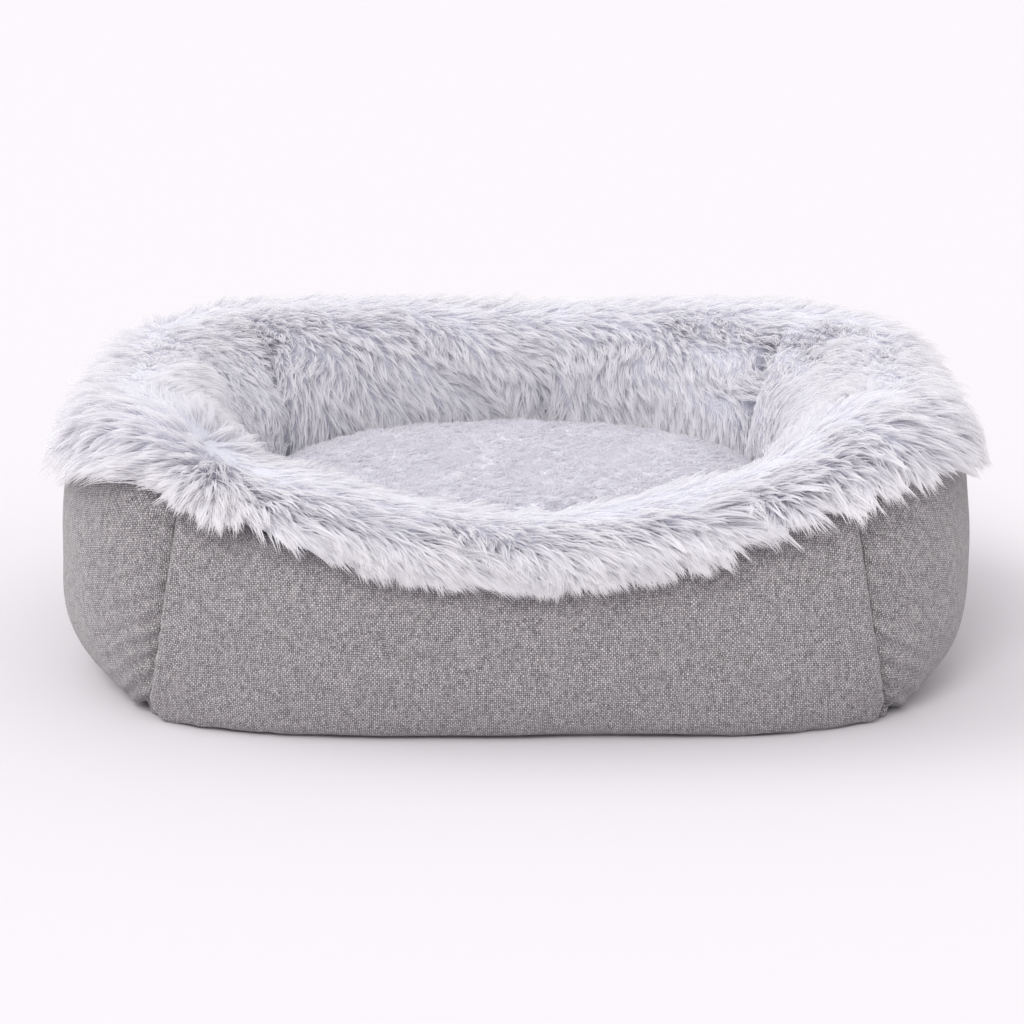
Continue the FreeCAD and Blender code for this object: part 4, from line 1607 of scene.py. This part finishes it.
def dress_nodes(finishes: Finishes) -> None:
    """Give the parts that stay as modelled their finishes."""
    plain = {"base_panel": (finishes.base_cloth, "base_cloth"),
             "base_wadding": (finishes.base_cloth, "fibre_filling"),
             "grip_dots": (finishes.rubber, "grip_rubber"),
             # The well's floor takes the pile ground with its painted shade.
             "well_floor_lining": (finishes.under_pile, "short_pile")}
    for name, (material, slot) in plain.items():
        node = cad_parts[name]
        node.data.materials.clear()
        node.data.materials.append(material)
        LOG.info("dressed %s", name)


# ---------------------------------------------------------------- floor, light and camera

@dataclass(frozen=True)
class Lamp:
    """One soft far light, so that the whole floor is lit alike."""

    name: str
    place: tuple[float, float, float]
    spread: float
    power: float

    def build(self, aim: Vector) -> None:
        """Hang the light and turn it to a point."""
        light = bpy.data.lights.new(self.name, "SUN")
        light.angle = math.radians(self.spread)
        light.energy = self.power
        lamp = bpy.data.objects.new(self.name, light)
        lamp.location = self.place
        lamp.rotation_euler = (aim - lamp.location).to_track_quat("-Z", "Y").to_euler()
        bpy.context.scene.collection.objects.link(lamp)


@dataclass(frozen=True)
class Studio:
    """A pale floor under a white sky, soft lamps and the camera."""

    target: tuple[float, float, float] = (0.0, 0.0, 0.078)
    distance: float = 1.9
    elevation: float = 15.0
    lens: float = 105.0
    shift: float = -0.0039
    floor_tone: tuple = (0.740, 0.716, 0.740, 1.0)
    backdrop: tuple = (0.991, 0.956, 0.991, 1.0)
    sky_low: float = 0.70
    sky_high: float = 1.08
    lamps: tuple = (Lamp("key", (-1.45, 0.25, 1.45), 40.0, 0.76),
                    Lamp("front_fill", (-0.6, -1.8, 1.8), 24.0, 0.98))

    def build(self) -> None:
        """Set the stage."""
        self.floor()
        self.sky()
        aim = Vector(self.target)
        for lamp in self.lamps:
            lamp.build(aim)
        self.camera(aim)
        view = bpy.context.scene.view_settings
        view.view_transform = "Standard"
        view.look = "None"

    def floor(self) -> None:
        """A wide pale floor."""
        bm = bmesh.new()
        bmesh.ops.create_grid(bm, x_segments=1, y_segments=1, size=15.0)
        mesh = mesh_from(bm, "floor")
        material, nodes = new_material("pale_floor")
        shader = nodes.add("ShaderNodeBsdfPrincipled", {
            "Base Color": self.floor_tone, "Roughness": 0.9, "Specular IOR Level": 0.1})
        nodes.add("ShaderNodeOutputMaterial", {0: shader.outputs[0]})
        new_piece("floor", mesh, material)

    def sky(self) -> None:
        """A white surround, brighter overhead; the camera sees it as an even backdrop."""
        world = bpy.data.worlds.new("white_surround")
        world.use_nodes = True
        nodes = Nodes(world.node_tree)
        heading = nodes.add("ShaderNodeTexCoord")
        split = nodes.add("ShaderNodeSeparateXYZ", {0: heading.outputs["Generated"]})
        strength = nodes.spread(split.outputs[2], 0.0, 1.0, self.sky_low, self.sky_high)
        lit = nodes.add("ShaderNodeBackground", {"Color": (1.0, 0.985, 1.0, 1.0),
                                                 "Strength": strength})
        seen = nodes.add("ShaderNodeBackground", {"Color": self.backdrop, "Strength": 1.0})
        path = nodes.add("ShaderNodeLightPath")
        chosen = nodes.add("ShaderNodeMixShader", {0: path.outputs["Is Camera Ray"],
                                                   1: lit.outputs[0], 2: seen.outputs[0]})
        nodes.add("ShaderNodeOutputWorld", {0: chosen.outputs[0]})
        bpy.context.scene.world = world

    def camera(self, aim: Vector) -> None:
        """The camera, from the front and a little above."""
        lens = bpy.data.cameras.new("camera")
        lens.lens = self.lens
        lens.sensor_width = 36.0
        lens.shift_x = self.shift
        turn = math.radians(self.elevation)
        camera = bpy.data.objects.new("camera", lens)
        camera.location = aim + self.distance * Vector((0.0, -math.cos(turn), math.sin(turn)))
        camera.rotation_euler = (math.radians(90.0 - self.elevation), 0.0, 0.0)
        bpy.context.scene.collection.objects.link(camera)
        bpy.context.scene.camera = camera


def cushion_form() -> StuffedForm:
    """The cushion's form, a little inside its two covers."""
    low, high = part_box("cushion_fur_top")
    floor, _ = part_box("cushion_underside")
    edge = low[2]
    side_room, top_room, under_room = 0.003, 0.005, 0.004
    return StuffedForm(half_width=high[0] - side_room, half_depth=high[1] - side_room,
                       edge_height=edge, rise=high[2] - edge - top_room,
                       drop=edge - floor[2] - under_room)


def main() -> None:
    """Build every part in order."""
    logging.basicConfig(level=logging.INFO, format="%(message)s")
    form = WallForm(BedSizes())
    finishes = Finishes()
    makers = [WovenCover(form, finishes.woven),
              FurLining(form, finishes.under_pile, finishes.long_pile),
              Cushion(cushion_form(), finishes.cushion_ground, finishes.short_pile,
                      finishes.base_cloth)]
    for maker in makers:
        for piece in maker.build():
            LOG.info("%s: %d faces", piece.name, len(piece.data.polygons))
    dress_nodes(finishes)
    Studio().build()


if __name__ == "__main__":
    main()
